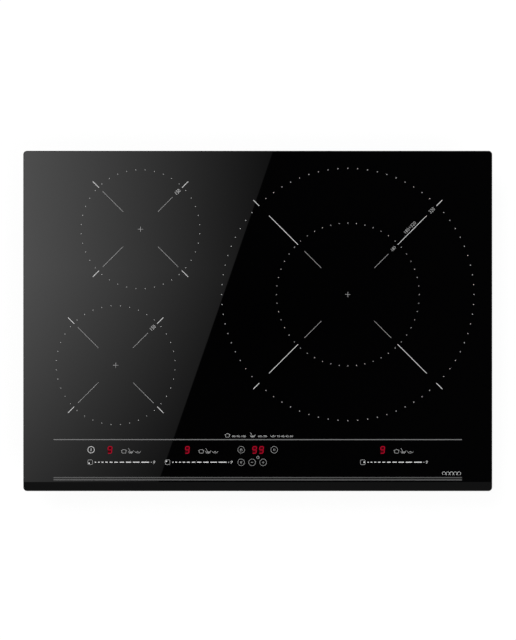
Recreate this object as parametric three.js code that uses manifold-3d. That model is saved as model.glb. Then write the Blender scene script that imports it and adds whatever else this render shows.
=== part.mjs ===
// Built-in electric induction cooktop with three cooking zones.
// Millimetres, +Z up, +Y to the rear. The origin is at the centre of the base, on the plane it stands on.
import * as THREE from "three";
import { mergeVertices } from "three/addons/utils/BufferGeometryUtils.js";
import Module from "manifold-3d";

const wasm = await Module();
wasm.setup();

// ---------------------------------------------------------------- sizes

// Clearances shared by every piece.
const fit = {
  seat: 0.25, // between faces that rest on each other
  loose: 0.5, // round a piece that drops into another
  hole: 0.3, // radial, round a screw or a pin
};

const glass = {
  width: 700,
  depth: 508,
  thickness: 4,
  cornerRadius: 5.5,
  arris: 0.8, // ground edge, top and bottom
  bevelWidth: 13.7, // sloped front edge, seen from above
  bevelDrop: 2.2,
};

const seal = { width: 9, thickness: 2, inset: 4 };
const adhesive = { width: 8, thickness: 0.5, inset: 3 };

const casing = {
  sideOverhang: 30, // glass past the casing, left and right
  endOverhang: 18, // glass past the casing, front and rear
  depthBelowGlass: 52,
  rimGap: 0.5,
  sheet: 1,
  cornerRadius: 8,
  shoulderWidth: 34, // shallow band along each side, which the clamps hang under
  shoulderRise: 16,
  beadDepth: 1.5, // pressed ribs that the casing stands on
  beadWidth: 12,
  beadEnd: 40, // from the pan's sides
  beadEdge: 26, // from the front and rear walls
  beadLidGap: 20,
};

const frame = { sheet: 1, flange: 14, skirt: 14 };

const coilPlate = { thickness: 1.25, sideGap: 18, rearGap: 20, frontReach: 8, cornerRadius: 12 };

const coil = {
  insulation: 3,
  winding: 4.5,
  former: 4,
  spring: 3.5,
  springWire: 0.6,
  rim: 3, // former past the winding
  rimWidth: 7,
  armWidth: 9,
  hubHole: 9,
  hubWidth: 13,
  sensorRadius: 6,
};

const smallZone = { inner: 27, outer: 70, arms: 6 };
const largeZone = { inner: 27, split: 85, restart: 95, outer: 155, arms: 8 };
// How far each former's edge stays from the casing's walls and from the touch control.
const zoneMargin = {
  rightSide: 27.5,
  leftRearSide: 72,
  leftRearEnd: 26,
  leftFrontSide: 35,
  leftFrontControl: 39.5,
};
const rightZoneY = 39.5;

// The power modules fill the pan either side of the filter board, and the left one mirrors the right one.
const board = {
  thickness: 1.5,
  standOff: 6,
  rail: 12, // carrier past the board
  ledge: 6, // carrier under the board's edge
  pillarRadius: 4.5,
  innerGap: 9,
  outerGap: 9,
  frontGap: 41.5,
  fanGap: 11,
};
// What stands on a power board: inset from its outer edge, from its rear edge, and size.
const boardParts = {
  film: { outer: 58, rear: 14, width: 22, depth: 34, height: 17, count: 2, pitch: 38 },
  relay: { outer: 98, rear: 14, width: 24, depth: 18, height: 10 },
  choke: { outer: 98, rear: 60, width: 24, depth: 30, height: 13 },
  connector: { outer: 128, rear: 16, width: 12, depth: 50, height: 9 },
  smoothing: { outer: 152, rear: 96, radius: 10, height: 20, count: 2, pitch: 26 },
};
const heatsink = {
  width: 38,
  height: 22,
  base: 4,
  fins: 9,
  finThickness: 1.6,
  fromOuter: 34, // its middle, from the board's outer edge
  fromRear: 18,
  fromFront: 22,
};

const fan = {
  fromRear: 96, // rotor's axis to the casing's rear
  radius: 37,
  height: 28,
  wall: 1.5,
  throat: 4, // rotor to scroll at the tongue
  spread: 9, // growth of the scroll over its turn
  duct: 52, // rotor's axis to the mouth
  inletRadius: 31,
  shaftRadius: 1.75,
  bossRadius: 9,
  bossDepth: 2,
  rotorLift: 1.5,
  hubRadius: 11,
  disc: 1.5,
  blades: 11,
  bladeThickness: 1.3,
  bladeRoot: 25,
};

const grille = { slot: 4, pitch: 8.5, bridge: 6 };
const exhaust = { slot: 4, pitch: 9, count: 9, low: 8, high: 28 };

const filter = { width: 88, frontGap: 41.5, rearGap: 75.5, footRadius: 3, footInset: 6 };
// What stands on the filter board: from its left edge, from its front or rear edge, and size.
const filterParts = {
  rear: [
    { left: 8, from: 23, width: 24, depth: 52, height: 16 },
    { left: 40, from: 15, width: 26, depth: 38, height: 15 },
  ],
  front: [
    { left: 10, from: 17, width: 64, depth: 12, height: 9 },
    { left: 10, from: 40, width: 24, depth: 30, height: 17 },
  ],
  can: { left: 64, front: 46, radius: 10, height: 19 },
};
const choke = { radius: 15, tube: 6, left: 62, fromRear: 84 };

const terminal = {
  x: 35,
  width: 100,
  depth: 66,
  height: 28,
  wall: 2.5,
  rearGap: 0.5,
  cableRadius: 6.5,
  cableZ: 16,
  block: { width: 72, depth: 18, height: 11, ways: 6, screwRadius: 2.6, screwDepth: 5 },
  saddle: { width: 46, depth: 9, foot: 6, fromRear: 14, bossRadius: 4, bossX: 16 },
};
const lid = {
  thickness: 2,
  lip: 1.5,
  axisRise: 3,
  armThickness: 3,
  trunnionRadius: 1.5,
  trunnionReach: 1.5,
  catchWidth: 16,
  catchHeight: 3,
};

const control = {
  width: 532,
  depth: 41,
  boardTop: 43.5,
  thickness: 1.5,
  frontGap: 1,
  carrier: 4,
  rail: 6,
  leg: 8,
  innerLeg: 80, // inner legs from the middle
  barPitch: 160,
  barWidth: 8,
  keyRadius: 3,
  topRow: 27, // the rows' distance from the board's front edge
  lowRow: 8.5,
};
// Where each display and key sits along the board.
const controlEnd = control.width / 2;
const displays = {
  left_front: 45.5 - controlEnd,
  left_rear: 161 - controlEnd,
  timer: 0.5,
  right: controlEnd - 79.5,
};
const digit = { width: 12, timerWidth: 23, depth: 17, height: 7.5 };
const keysTop = [17 - controlEnd, -25, 24.5];
const keysLow = [-25, -8.5, 8];
const slider = { length: 84, depth: 6, fromDisplay: 21 };
const sliders = [displays.left_front, displays.left_rear, displays.right].map((x) => x + slider.fromDisplay);

const clamp = {
  inset: 17, // pivot from the casing's side
  fromEnd: 66, // pivot from the casing's front or rear
  width: 14,
  thickness: 2,
  foot: 13,
  reach: 44,
  step: 6, // drop from the pivot's plate to the arm
  tip: 3,
};
const screw = { radius: 2, head: 4, headHeight: 2.4, length: 9, drive: 1.4 };
const caseScrew = { fromEnd: 126, drop: 9 };
const lead = { radius: 2, clear: 6, bend: 2.4, postRadius: 4, postHeight: 8 };
const ribbon = { width: 34, thickness: 1, x: -30, underBoard: 12, behindBoard: 5 };

// ---------------------------------------------------------------- derived places

const halfWidth = glass.width / 2 - casing.sideOverhang;
const halfDepth = glass.depth / 2 - casing.endOverhang;
const caseScrewY = halfDepth - caseScrew.fromEnd;
const panHalfWidth = halfWidth - casing.shoulderWidth;
const glassUnderside = casing.depthBelowGlass;
const wallTop = glassUnderside - casing.rimGap;
const floorUnderside = casing.beadDepth;
const floorTop = floorUnderside + casing.sheet;
const shelf = floorTop + fit.seat; // what stands in the casing starts here
const touch = glassUnderside - fit.seat; // what reaches the glass ends here

const frameInset = casing.sheet + fit.loose;
const frameTop = touch - adhesive.thickness - fit.seat;

const insulationLow = touch - coil.insulation;
const windingTop = insulationLow - fit.seat;
const windingLow = windingTop - coil.winding;
const formerTop = windingLow - fit.seat;
const formerLow = formerTop - coil.former;
const springLow = formerLow - fit.seat - coil.spring;
const plateTop = springLow - fit.seat;
const plateLow = plateTop - coilPlate.thickness;

const boardLow = shelf + board.standOff + fit.seat;
const boardTop = boardLow + board.thickness;
const postTop = boardTop + lead.postHeight;

const controlFront = -(halfDepth - frameInset - frame.flange) + control.frontGap;
const controlRear = controlFront + control.depth;
const controlLow = control.boardTop - control.thickness;

const smallFormer = smallZone.outer + coil.rim;
const largeFormer = largeZone.outer + coil.rim;
const zones = {
  left_rear: new THREE.Vector2(
    -(halfWidth - zoneMargin.leftRearSide - smallFormer),
    halfDepth - zoneMargin.leftRearEnd - smallFormer,
  ),
  left_front: new THREE.Vector2(
    -(halfWidth - zoneMargin.leftFrontSide - smallFormer),
    controlRear + zoneMargin.leftFrontControl + smallFormer,
  ),
  right: new THREE.Vector2(halfWidth - zoneMargin.rightSide - largeFormer, rightZoneY),
};

const terminalFront = halfDepth - casing.sheet - terminal.rearGap - terminal.depth;
const terminalRear = terminalFront + terminal.depth;
const terminalCeiling = shelf + terminal.height - terminal.wall;
const saddleY = terminalRear - terminal.saddle.fromRear;
const hingeZ = shelf + lid.axisRise;
// The lid's lower front corner swings round the hinge, so the cut-out starts past that radius.
const lidSwing = Math.hypot(lid.lip, hingeZ - floorUnderside) + fit.loose;
const lidWindow = {
  halfWidth: terminal.width / 2 - terminal.wall - lid.trunnionReach,
  front: terminalFront + terminal.wall,
  rear: terminalRear - terminal.wall,
};
const hingeY = lidWindow.front + lidSwing;

const carrierInner = filter.width / 2 + board.innerGap;
const carrierOuter = panHalfWidth - board.outerGap;
const fanY = halfDepth - fan.fromRear;
const carrierFront = controlRear + board.frontGap;
const carrierRear = fanY - fan.duct - board.fanGap;
const boardWidth = carrierOuter - carrierInner - 2 * board.rail;
const boardDepth = carrierRear - carrierFront - 2 * board.rail;
const moduleX = (carrierInner + carrierOuter) / 2;
const moduleY = (carrierFront + carrierRear) / 2;
const heatsinkX = boardWidth / 2 - heatsink.fromOuter;
const heatsinkRear = boardDepth / 2 - heatsink.fromRear;
const heatsinkFront = heatsink.fromFront - boardDepth / 2;

// The scroll opens from its tongue to its widest radius, and its mouth faces the heatsink.
const scrollStart = fan.radius + fan.throat;
const tongueAngle = THREE.MathUtils.degToRad(-75);
const mouthLeft = scrollStart * Math.cos(tongueAngle);
const mouthRight = scrollStart + fan.spread;
const fanX = heatsinkX - (mouthLeft + mouthRight) / 2;

const filterFront = controlRear + filter.frontGap;
const filterRear = terminalFront - filter.rearGap;

// Where each coil's lead leaves its winding and comes down, as distances from the zone's centre.
const besideSmall = { start: smallZone.outer + fit.hole, end: smallFormer + lead.clear };
const insideLarge = { start: largeZone.inner - fit.hole, end: largeZone.inner - fit.hole - lead.bend };
const leadRoutes = {
  left_rear: { turn: -90, ...besideSmall },
  left_front: { turn: 0, ...besideSmall },
  right: { turn: 202.5, ...insideLarge },
};

// ---------------------------------------------------------------- materials

const paint = (color, roughness, metalness = 0) =>
  new THREE.MeshStandardMaterial({ color, roughness, metalness });
const materials = {
  glass: paint(0x050506, 0.06),
  foam: paint(0x1b1b1c, 0.95),
  silicone: paint(0x26262a, 0.7),
  galvanised: paint(0xa9adb0, 0.42, 0.9),
  aluminium: paint(0xc3c6c9, 0.38, 0.95),
  springSteel: paint(0x8d9093, 0.3, 1),
  zinc: paint(0xb9b7ae, 0.3, 1),
  copper: paint(0xa85a32, 0.4, 0.9),
  former: paint(0x2a2a2c, 0.8),
  felt: paint(0xe4e0d4, 0.95),
  nylon: paint(0xe9e6dc, 0.55),
  blackPlastic: paint(0x1a1a1b, 0.5),
  circuit: paint(0x1f5a37, 0.5),
  display: paint(0x2b0507, 0.25),
  ribbon: paint(0x9a9a9c, 0.6),
  sleeve: paint(0xc8bfae, 0.8),
};

// ---------------------------------------------------------------- solid helpers

// A closed three.js geometry as a manifold-3d solid.
function solid(geometry) {
  const bare = geometry.index ? geometry.toNonIndexed() : geometry.clone();
  bare.deleteAttribute("normal");
  bare.deleteAttribute("uv");
  const merged = mergeVertices(bare, 1e-4);
  return new wasm.Manifold(
    new wasm.Mesh({
      numProp: 3,
      vertProperties: merged.attributes.position.array,
      triVerts: new Uint32Array(merged.index.array),
    }),
  );
}

// A solid as a three.js geometry.
function shell(body) {
  const { vertProperties, triVerts } = body.getMesh();
  const geometry = new THREE.BufferGeometry();
  geometry.setAttribute("position", new THREE.BufferAttribute(vertProperties, 3));
  geometry.setIndex(new THREE.BufferAttribute(triVerts, 1));
  return geometry;
}

function mesh(name, body, material, x = 0, y = 0, z = 0) {
  const geometry = shell(body);
  geometry.computeVertexNormals();
  const made = new THREE.Mesh(geometry, material);
  made.name = name;
  made.position.set(x, y, z);
  return made;
}

const join = (...bodies) => bodies.reduce((sum, body) => sum.add(body));
const cut = (body, ...tools) => tools.reduce((rest, tool) => rest.subtract(tool), body);

function block(x0, x1, y0, y1, z0, z1) {
  const geometry = new THREE.BoxGeometry(x1 - x0, y1 - y0, z1 - z0);
  geometry.translate((x0 + x1) / 2, (y0 + y1) / 2, (z0 + z1) / 2);
  return solid(geometry);
}

function rod(radius, z0, z1, x = 0, y = 0, sides = 12) {
  const geometry = new THREE.CylinderGeometry(radius, radius, z1 - z0, sides);
  geometry.rotateX(Math.PI / 2);
  geometry.translate(x, y, (z0 + z1) / 2);
  return solid(geometry);
}

// A rod along X or Y instead of Z.
function rodX(radius, x0, x1, y, z, sides = 12) {
  const geometry = new THREE.CylinderGeometry(radius, radius, x1 - x0, sides);
  geometry.rotateZ(-Math.PI / 2);
  geometry.translate((x0 + x1) / 2, y, z);
  return solid(geometry);
}

function rodY(radius, y0, y1, x, z, sides = 12) {
  const geometry = new THREE.CylinderGeometry(radius, radius, y1 - y0, sides);
  geometry.translate(x, (y0 + y1) / 2, z);
  return solid(geometry);
}

function slab(shape, z0, z1, curveSegments = 2) {
  const geometry = new THREE.ExtrudeGeometry(shape, { depth: z1 - z0, bevelEnabled: false, curveSegments });
  geometry.translate(0, 0, z0);
  return solid(geometry);
}

// A profile drawn in Y and Z, extruded along X.
function prismX(shape, x0, x1) {
  const geometry = new THREE.ExtrudeGeometry(shape, { depth: x1 - x0, bevelEnabled: false });
  const toX = new THREE.Matrix4().makeBasis(
    new THREE.Vector3(0, 1, 0),
    new THREE.Vector3(0, 0, 1),
    new THREE.Vector3(1, 0, 0),
  );
  geometry.applyMatrix4(toX);
  geometry.translate(x0, 0, 0);
  return solid(geometry);
}

// A profile drawn in X and Z, extruded along Y.
function prismY(shape, y0, y1) {
  const geometry = new THREE.ExtrudeGeometry(shape, { depth: y1 - y0, bevelEnabled: false });
  geometry.rotateX(Math.PI / 2);
  geometry.translate(0, y1, 0);
  return solid(geometry);
}

function roundedRectangle(width, depth, radius, x = 0, y = 0) {
  const [w, d] = [width / 2, depth / 2];
  const shape = new THREE.Shape();
  shape.moveTo(x - w + radius, y - d);
  shape.lineTo(x + w - radius, y - d);
  shape.absarc(x + w - radius, y - d + radius, radius, -Math.PI / 2, 0);
  shape.absarc(x + w - radius, y + d - radius, radius, 0, Math.PI / 2);
  shape.absarc(x - w + radius, y + d - radius, radius, Math.PI / 2, Math.PI);
  shape.absarc(x - w + radius, y - d + radius, radius, Math.PI, 1.5 * Math.PI);
  return shape;
}

function polygon(points) {
  return new THREE.Shape(points.map(([a, b]) => new THREE.Vector2(a, b)));
}

function annulus(inner, outer, z0, z1, segments = 16) {
  const shape = new THREE.Shape().absarc(0, 0, outer, 0, 2 * Math.PI);
  shape.holes.push(new THREE.Path().absarc(0, 0, inner, 0, 2 * Math.PI));
  return slab(shape, z0, z1, segments);
}

// A flat frame between two rounded rectangles.
function rectangleRing(width, depth, radius, band, z0, z1) {
  const hole = roundedRectangle(width - 2 * band, depth - 2 * band, Math.max(radius - band, 1));
  return cut(slab(roundedRectangle(width, depth, radius), z0, z1), slab(hole, z0 - 1, z1 + 1));
}

const turned = (body, degrees) => solid(shell(body).rotateZ(THREE.MathUtils.degToRad(degrees)));
const moved = (body, x, y, z = 0) => solid(shell(body).translate(x, y, z));

// The same solid for the left or the right module: mirrored, with its faces turned out again.
function handed(body, side) {
  if (side > 0) return body;
  const geometry = shell(body).scale(-1, 1, 1);
  geometry.index.array.reverse();
  return solid(geometry);
}

// ---------------------------------------------------------------- glass and its fixings

function glassPlate() {
  const outline = roundedRectangle(glass.width, glass.depth, glass.cornerRadius);
  const plate = new THREE.ExtrudeGeometry(outline, {
    depth: glass.thickness - 2 * glass.arris,
    bevelEnabled: true,
    bevelThickness: glass.arris,
    bevelSize: glass.arris,
    bevelOffset: -glass.arris,
    bevelSegments: 2,
    curveSegments: 4,
  });
  plate.translate(0, 0, glass.arris);
  const front = -glass.depth / 2;
  const slope = glass.bevelDrop / glass.bevelWidth;
  const past = 5;
  const wedge = polygon([
    [front - past, glass.thickness - slope * (glass.bevelWidth + past)],
    [front + glass.bevelWidth + 1 / slope, glass.thickness + 1],
    [front - past, glass.thickness + 1],
  ]);
  const half = glass.width / 2 + past;
  const bevelled = cut(solid(plate), prismX(wedge, -half, half));
  return mesh("glass_plate", bevelled, materials.glass, 0, 0, glassUnderside);
}

function worktopSeal() {
  const [width, depth] = [glass.width - 2 * seal.inset, glass.depth - 2 * seal.inset];
  const ring = rectangleRing(width, depth, glass.cornerRadius, seal.width, touch - seal.thickness, touch);
  return mesh("worktop_seal", ring, materials.foam);
}

function glassAdhesive() {
  const inset = frameInset + adhesive.inset;
  const radius = casing.cornerRadius;
  const [width, depth] = [2 * (halfWidth - inset), 2 * (halfDepth - inset)];
  const ring = rectangleRing(width, depth, radius, adhesive.width, touch - adhesive.thickness, touch);
  return mesh("glass_adhesive", ring, materials.silicone);
}

// The steel frame glued under the glass. Its skirt stands just inside the casing's walls.
function supportFrame() {
  const radius = casing.cornerRadius - frameInset;
  const [width, depth] = [2 * (halfWidth - frameInset), 2 * (halfDepth - frameInset)];
  const skirtLow = frameTop - frame.skirt;
  const ring = join(
    rectangleRing(width, depth, radius, frame.sheet, skirtLow, frameTop),
    rectangleRing(width, depth, radius, frame.flange, frameTop - frame.sheet, frameTop),
  );
  const z = glassUnderside - caseScrew.drop;
  const holes = [-1, 1].map((side) =>
    rodX(screw.radius + fit.hole, -halfWidth, halfWidth, side * caseScrewY, z, 12),
  );
  return mesh("support_frame", cut(ring, ...holes), materials.galvanised);
}

// ---------------------------------------------------------------- casing

const fanCentres = [-1, 1].map((side) => new THREE.Vector2(side * (moduleX + fanX), fanY));

// One pressed rib, from x0 to x1: its outside, and the groove that it leaves inside.
function bead(x0, x1, y) {
  const stadium = (inset) =>
    roundedRectangle(
      x1 - x0 - 2 * inset,
      casing.beadWidth - 2 * inset,
      casing.beadWidth / 2 - inset - 0.01,
      (x0 + x1) / 2,
      y,
    );
  return {
    outside: slab(stadium(0), 0, floorTop - 0.1),
    groove: slab(stadium(casing.sheet), casing.sheet, floorTop + 1),
  };
}

// Slots that fill a circle under a fan, either side of a bridge.
function inletSlots(centre) {
  const slots = [];
  const rows = Math.floor((fan.inletRadius - grille.slot) / grille.pitch);
  for (let row = -rows; row <= rows; row++) {
    const [y, half] = [centre.y + row * grille.pitch, grille.slot / 2];
    const chord = Math.sqrt(fan.inletRadius ** 2 - (row * grille.pitch) ** 2);
    for (const [near, far] of [[-chord, -grille.bridge / 2], [grille.bridge / 2, chord]]) {
      const [x0, x1] = [centre.x + near, centre.x + far];
      slots.push(block(x0, x1, y - half, y + half, floorUnderside - 1, floorTop + 1));
    }
  }
  return slots;
}

function exhaustSlots() {
  const slots = [];
  const [y0, y1, half] = [-halfDepth - 1, -halfDepth + casing.sheet + 1, exhaust.slot / 2];
  for (const side of [-1, 1])
    for (let i = 0; i < exhaust.count; i++) {
      const x = side * (moduleX + heatsinkX) + (i - (exhaust.count - 1) / 2) * exhaust.pitch;
      slots.push(block(x - half, x + half, y0, y1, exhaust.low, exhaust.high));
    }
  return slots;
}

const clampPlaces = [
  { name: "front_left", side: -1, end: -1 },
  { name: "front_right", side: 1, end: -1 },
  { name: "rear_left", side: -1, end: 1 },
  { name: "rear_right", side: 1, end: 1 },
].map(({ name, side, end }) => ({
  name,
  end,
  x: side * (halfWidth - clamp.inset),
  y: end * (halfDepth - clamp.fromEnd),
}));

const collarTop = casing.shoulderRise + casing.sheet + 3;

function casingTray() {
  const stepped = (inset, low, shoulder, top) => {
    const radius = casing.cornerRadius - inset;
    const depth = 2 * (halfDepth - inset);
    return join(
      slab(roundedRectangle(2 * (panHalfWidth - inset), depth, radius), low, top),
      slab(roundedRectangle(2 * (halfWidth - inset), depth, radius), shoulder, top),
    );
  };
  const outside = stepped(0, floorUnderside, casing.shoulderRise, wallTop);
  const inside = stepped(casing.sheet, floorTop, casing.shoulderRise + casing.sheet, wallTop + 1);
  const reach = panHalfWidth - casing.beadEnd;
  const besideLid = terminal.width / 2 + casing.beadLidGap;
  const beads = [
    bead(-reach, reach, -(halfDepth - casing.beadEdge)),
    bead(-reach, reach, -(halfDepth - casing.beadEdge) / 2),
    bead(-reach, reach, 0),
    bead(-reach, terminal.x - besideLid, halfDepth - casing.beadEdge),
    bead(terminal.x + besideLid, reach, halfDepth - casing.beadEdge),
  ];
  const collars = clampPlaces.map((p) => rod(screw.radius + 2.5, casing.shoulderRise, collarTop, p.x, p.y));
  const clampHoles = clampPlaces.map((p) =>
    rod(screw.radius + fit.hole, casing.shoulderRise - 1, collarTop + 1, p.x, p.y),
  );
  const z = glassUnderside - caseScrew.drop;
  const sideHoles = [-1, 1].map((side) =>
    rodX(screw.radius + fit.hole, -halfWidth - 1, halfWidth + 1, side * caseScrewY, z, 12),
  );
  const window = block(
    terminal.x - lidWindow.halfWidth,
    terminal.x + lidWindow.halfWidth,
    lidWindow.front,
    lidWindow.rear,
    floorUnderside - 1,
    floorTop + 1,
  );
  const cableHole = terminal.cableRadius + fit.loose;
  const cable = rodY(cableHole, halfDepth - 3, halfDepth + 1, terminal.x, terminal.cableZ);
  const tray = cut(
    join(cut(join(outside, ...beads.map((b) => b.outside)), inside), ...collars),
    ...beads.map((b) => b.groove),
    ...fanCentres.flatMap(inletSlots),
    ...exhaustSlots(),
    ...clampHoles,
    ...sideHoles,
    window,
    cable,
  );
  return mesh("casing_tray", tray, materials.galvanised);
}

// ---------------------------------------------------------------- screws and clamps

// A pan-head screw along +Z, with its head's underside at zero and the head below it.
function screwBody(length) {
  const body = join(rod(screw.radius, -0.5, length), rod(screw.head, -screw.headHeight, 0));
  const slot = (degrees) =>
    turned(
      block(
        -screw.head * 0.6,
        screw.head * 0.6,
        -screw.drive / 2,
        screw.drive / 2,
        -screw.headHeight - 1,
        -screw.headHeight + 1.2,
      ),
      degrees,
    );
  return cut(body, slot(0), slot(90));
}

function clampScrews() {
  const z = casing.shoulderRise - 2 * fit.seat - clamp.thickness;
  return clampPlaces.map((p) =>
    mesh(`clamp_screw_${p.name}`, screwBody(screw.length), materials.zinc, p.x, p.y, z),
  );
}

function caseScrews() {
  const group = new THREE.Group();
  for (const [sideName, side] of [["left", -1], ["right", 1]])
    for (const [endName, end] of [["front", -1], ["rear", 1]]) {
      const made = mesh(`case_screw_${endName}_${sideName}`, screwBody(screw.length - 2), materials.zinc);
      made.position.set(side * (halfWidth + fit.seat), end * caseScrewY, glassUnderside - caseScrew.drop);
      made.rotation.y = (-side * Math.PI) / 2;
      group.add(made);
    }
  return group;
}

// A stepped steel strap that swings on its screw. At rest it lies along the casing's side.
function clampBody() {
  const t = clamp.thickness;
  const bend = clamp.foot;
  const profile = polygon([
    [-clamp.width / 2, -t],
    [bend, -t],
    [bend, -t - clamp.step],
    [clamp.reach, -t - clamp.step],
    [clamp.reach, clamp.tip - clamp.step],
    [clamp.reach - t, clamp.tip - clamp.step],
    [clamp.reach - t, -clamp.step],
    [bend + t, -clamp.step],
    [bend + t, 0],
    [-clamp.width / 2, 0],
  ]);
  const strap = prismY(profile, -clamp.width / 2, clamp.width / 2);
  return cut(strap, rod(screw.radius + fit.hole, -t - 1, 1));
}

function worktopClamps() {
  return clampPlaces.map((p) => {
    const made = mesh(`worktop_clamp_${p.name}`, clampBody(), materials.springSteel);
    made.position.set(p.x, p.y, casing.shoulderRise - fit.seat);
    made.rotation.z = (-p.end * Math.PI) / 2;
    return made;
  });
}

// ---------------------------------------------------------------- coils

function coilCarrier() {
  const coilFront = Math.min(zones.left_front.y - smallFormer, zones.right.y - largeFormer);
  const front = coilFront - coilPlate.frontReach;
  const rear = halfDepth - coilPlate.rearGap;
  const width = 2 * (halfWidth - coilPlate.sideGap);
  const outline = roundedRectangle(width, rear - front, coilPlate.cornerRadius, 0, (front + rear) / 2);
  const holes = Object.entries(zones).map(([name, centre]) => {
    const hole = alongLead(name, leadRoutes[name].end);
    return join(
      rod(coil.sensorRadius - 2, plateLow - 1, plateTop + 1, centre.x, centre.y),
      rod(lead.radius + 2, plateLow - 1, plateTop + 1, hole.x, hole.y),
    );
  });
  return mesh("coil_plate", cut(slab(outline, plateLow, plateTop), ...holes), materials.aluminium);
}

function formerBody(rings, outer, arms) {
  const spokes = [];
  for (let i = 0; i < arms; i++) {
    const spoke = block(coil.hubHole + 2, outer - 2, -coil.armWidth / 2, coil.armWidth / 2, 0, coil.former);
    spokes.push(turned(spoke, (i * 360) / arms));
  }
  return join(...rings.map(([a, b]) => annulus(a, b, 0, coil.former, 12)), ...spokes);
}

// A wave spring: a flat ring whose height follows three waves.
function waveSpring(inner, outer) {
  const t = coil.springWire;
  const profile = [[inner, 0], [outer, 0], [outer, t], [inner, t], [inner, 0]];
  const points = profile.map(([r, h]) => new THREE.Vector2(r, h));
  const geometry = new THREE.LatheGeometry(points, 24);
  geometry.rotateX(Math.PI / 2);
  const at = geometry.attributes.position;
  for (let i = 0; i < at.count; i++) {
    const angle = Math.atan2(at.getY(i), at.getX(i));
    at.setZ(i, at.getZ(i) + ((coil.spring - t) * (1 - Math.cos(3 * angle))) / 2);
  }
  return solid(geometry);
}

function sensorBody() {
  return join(
    rod(coil.sensorRadius - 1.5, springLow, insulationLow),
    rod(coil.sensorRadius, insulationLow - 1, touch),
    rod(coil.sensorRadius, springLow, springLow + 2),
  );
}

// A point at a distance from a zone's centre, in its lead's direction.
function alongLead(name, distance, z = 0) {
  const angle = THREE.MathUtils.degToRad(leadRoutes[name].turn);
  const { x, y } = zones[name];
  return new THREE.Vector3(x + Math.cos(angle) * distance, y + Math.sin(angle) * distance, z);
}

// A sleeved lead from the winding's edge, down past the former to its post on the power board.
function coilLead(name) {
  const { start, end } = leadRoutes[name];
  const middle = (windingLow + windingTop) / 2;
  const path = new THREE.CurvePath();
  const turn = alongLead(name, end, middle - Math.abs(end - start));
  const [top, corner] = [alongLead(name, start, middle), alongLead(name, end, middle)];
  path.add(new THREE.QuadraticBezierCurve3(top, corner, turn));
  path.add(new THREE.LineCurve3(turn, alongLead(name, end, postTop + fit.hole)));
  const section = new THREE.Shape().absarc(0, 0, lead.radius, 0, 2 * Math.PI);
  const tube = new THREE.ExtrudeGeometry(section, { steps: 12, extrudePath: path, curveSegments: 4 });
  return mesh(`coil_lead_${name}`, solid(tube), materials.sleeve);
}

function coilUnit(name) {
  const group = new THREE.Group();
  const large = name === "right";
  const formerRadius = large ? largeFormer : smallFormer;
  const hub = [coil.hubHole, coil.hubHole + coil.hubWidth];
  const rim = [formerRadius - coil.rimWidth, formerRadius];
  const rings = large ? [hub, [largeZone.split - 2, largeZone.restart + 2], rim] : [hub, rim];
  const arms = large ? largeZone.arms : smallZone.arms;
  const windings = large
    ? [["_inner", largeZone.inner, largeZone.split], ["_outer", largeZone.restart, largeZone.outer]]
    : [["", smallZone.inner, smallZone.outer]];
  const disc = annulus(coil.sensorRadius + 2, formerRadius - 1, 0, coil.insulation);
  const spring = waveSpring(coil.hubHole + 2, coil.hubHole + coil.hubWidth - 2);
  group.add(
    mesh(`coil_former_${name}`, formerBody(rings, formerRadius, arms), materials.former, 0, 0, formerLow),
    ...windings.map(([part, inner, outer]) => {
      const disc = annulus(inner, outer, windingLow, windingTop);
      return mesh(`coil_winding_${name}${part}`, disc, materials.copper);
    }),
    mesh(`insulation_${name}`, disc, materials.felt, 0, 0, insulationLow),
    mesh(`sensor_${name}`, sensorBody(), materials.nylon),
    mesh(`coil_spring_${name}`, spring, materials.springSteel, 0, 0, springLow),
  );
  group.position.set(zones[name].x, zones[name].y, 0);
  return group;
}

// ---------------------------------------------------------------- power modules

function carrierBody() {
  const [width, depth] = [carrierOuter - carrierInner, carrierRear - carrierFront];
  const corner = board.pillarRadius;
  const low = rectangleRing(width, depth, corner, board.rail + board.ledge, shelf, shelf + board.standOff);
  const lip = rectangleRing(width, depth, corner, board.rail - fit.loose, shelf, boardTop);
  const [x, y] = [width / 2 - corner - fit.loose, depth / 2 - corner - fit.loose];
  const pillars = [[x, y], [x, -y], [-x, y], [-x, -y]].map(([px, py]) =>
    rod(board.pillarRadius, shelf, plateLow - fit.seat, px, py, 8),
  );
  return join(low, lip, ...pillars);
}

// What stands on a board starts inside it.
const boardRoot = boardTop - board.thickness / 2;

// A board with its larger parts standing on it. posts are where coil leads end.
function powerBoardBody(posts) {
  const [w, d] = [boardWidth / 2, boardDepth / 2];
  const inset = fit.seat;
  const box = (part, step = 0) => {
    const [x, y] = [w - part.outer, d - part.rear - step];
    return block(x - part.width, x, y - part.depth, y, boardRoot, boardTop + part.height);
  };
  const { film, relay, choke: coilChoke, connector, smoothing } = boardParts;
  const cans = [];
  for (let i = 0; i < smoothing.count; i++) {
    const y = d - smoothing.rear - i * smoothing.pitch;
    cans.push(rod(smoothing.radius, boardRoot, boardTop + smoothing.height, w - smoothing.outer, y, 16));
  }
  const films = [];
  for (let i = 0; i < film.count; i++) films.push(box(film, i * film.pitch));
  return join(
    block(inset - w, w - inset, inset - d, d - inset, boardLow, boardTop),
    box(relay),
    box(coilChoke),
    box(connector),
    ...films,
    ...cans,
    ...posts.map((p) => rod(lead.postRadius, boardRoot, postTop, p.x, p.y)),
  );
}

// A comb extrusion whose channels run along Y, the way the air blows.
function heatsinkBody() {
  const { width, height, base, fins, finThickness } = heatsink;
  const pitch = (width - finThickness) / (fins - 1);
  const points = [[-width / 2, 0]];
  for (let i = 0; i < fins; i++) {
    const x = -width / 2 + i * pitch;
    points.push([x, height], [x + finThickness, height]);
    if (i < fins - 1) points.push([x + finThickness, base], [x + pitch, base]);
  }
  points.push([width / 2, 0]);
  return prismY(polygon(points.reverse()), heatsinkFront, heatsinkRear);
}

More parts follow.
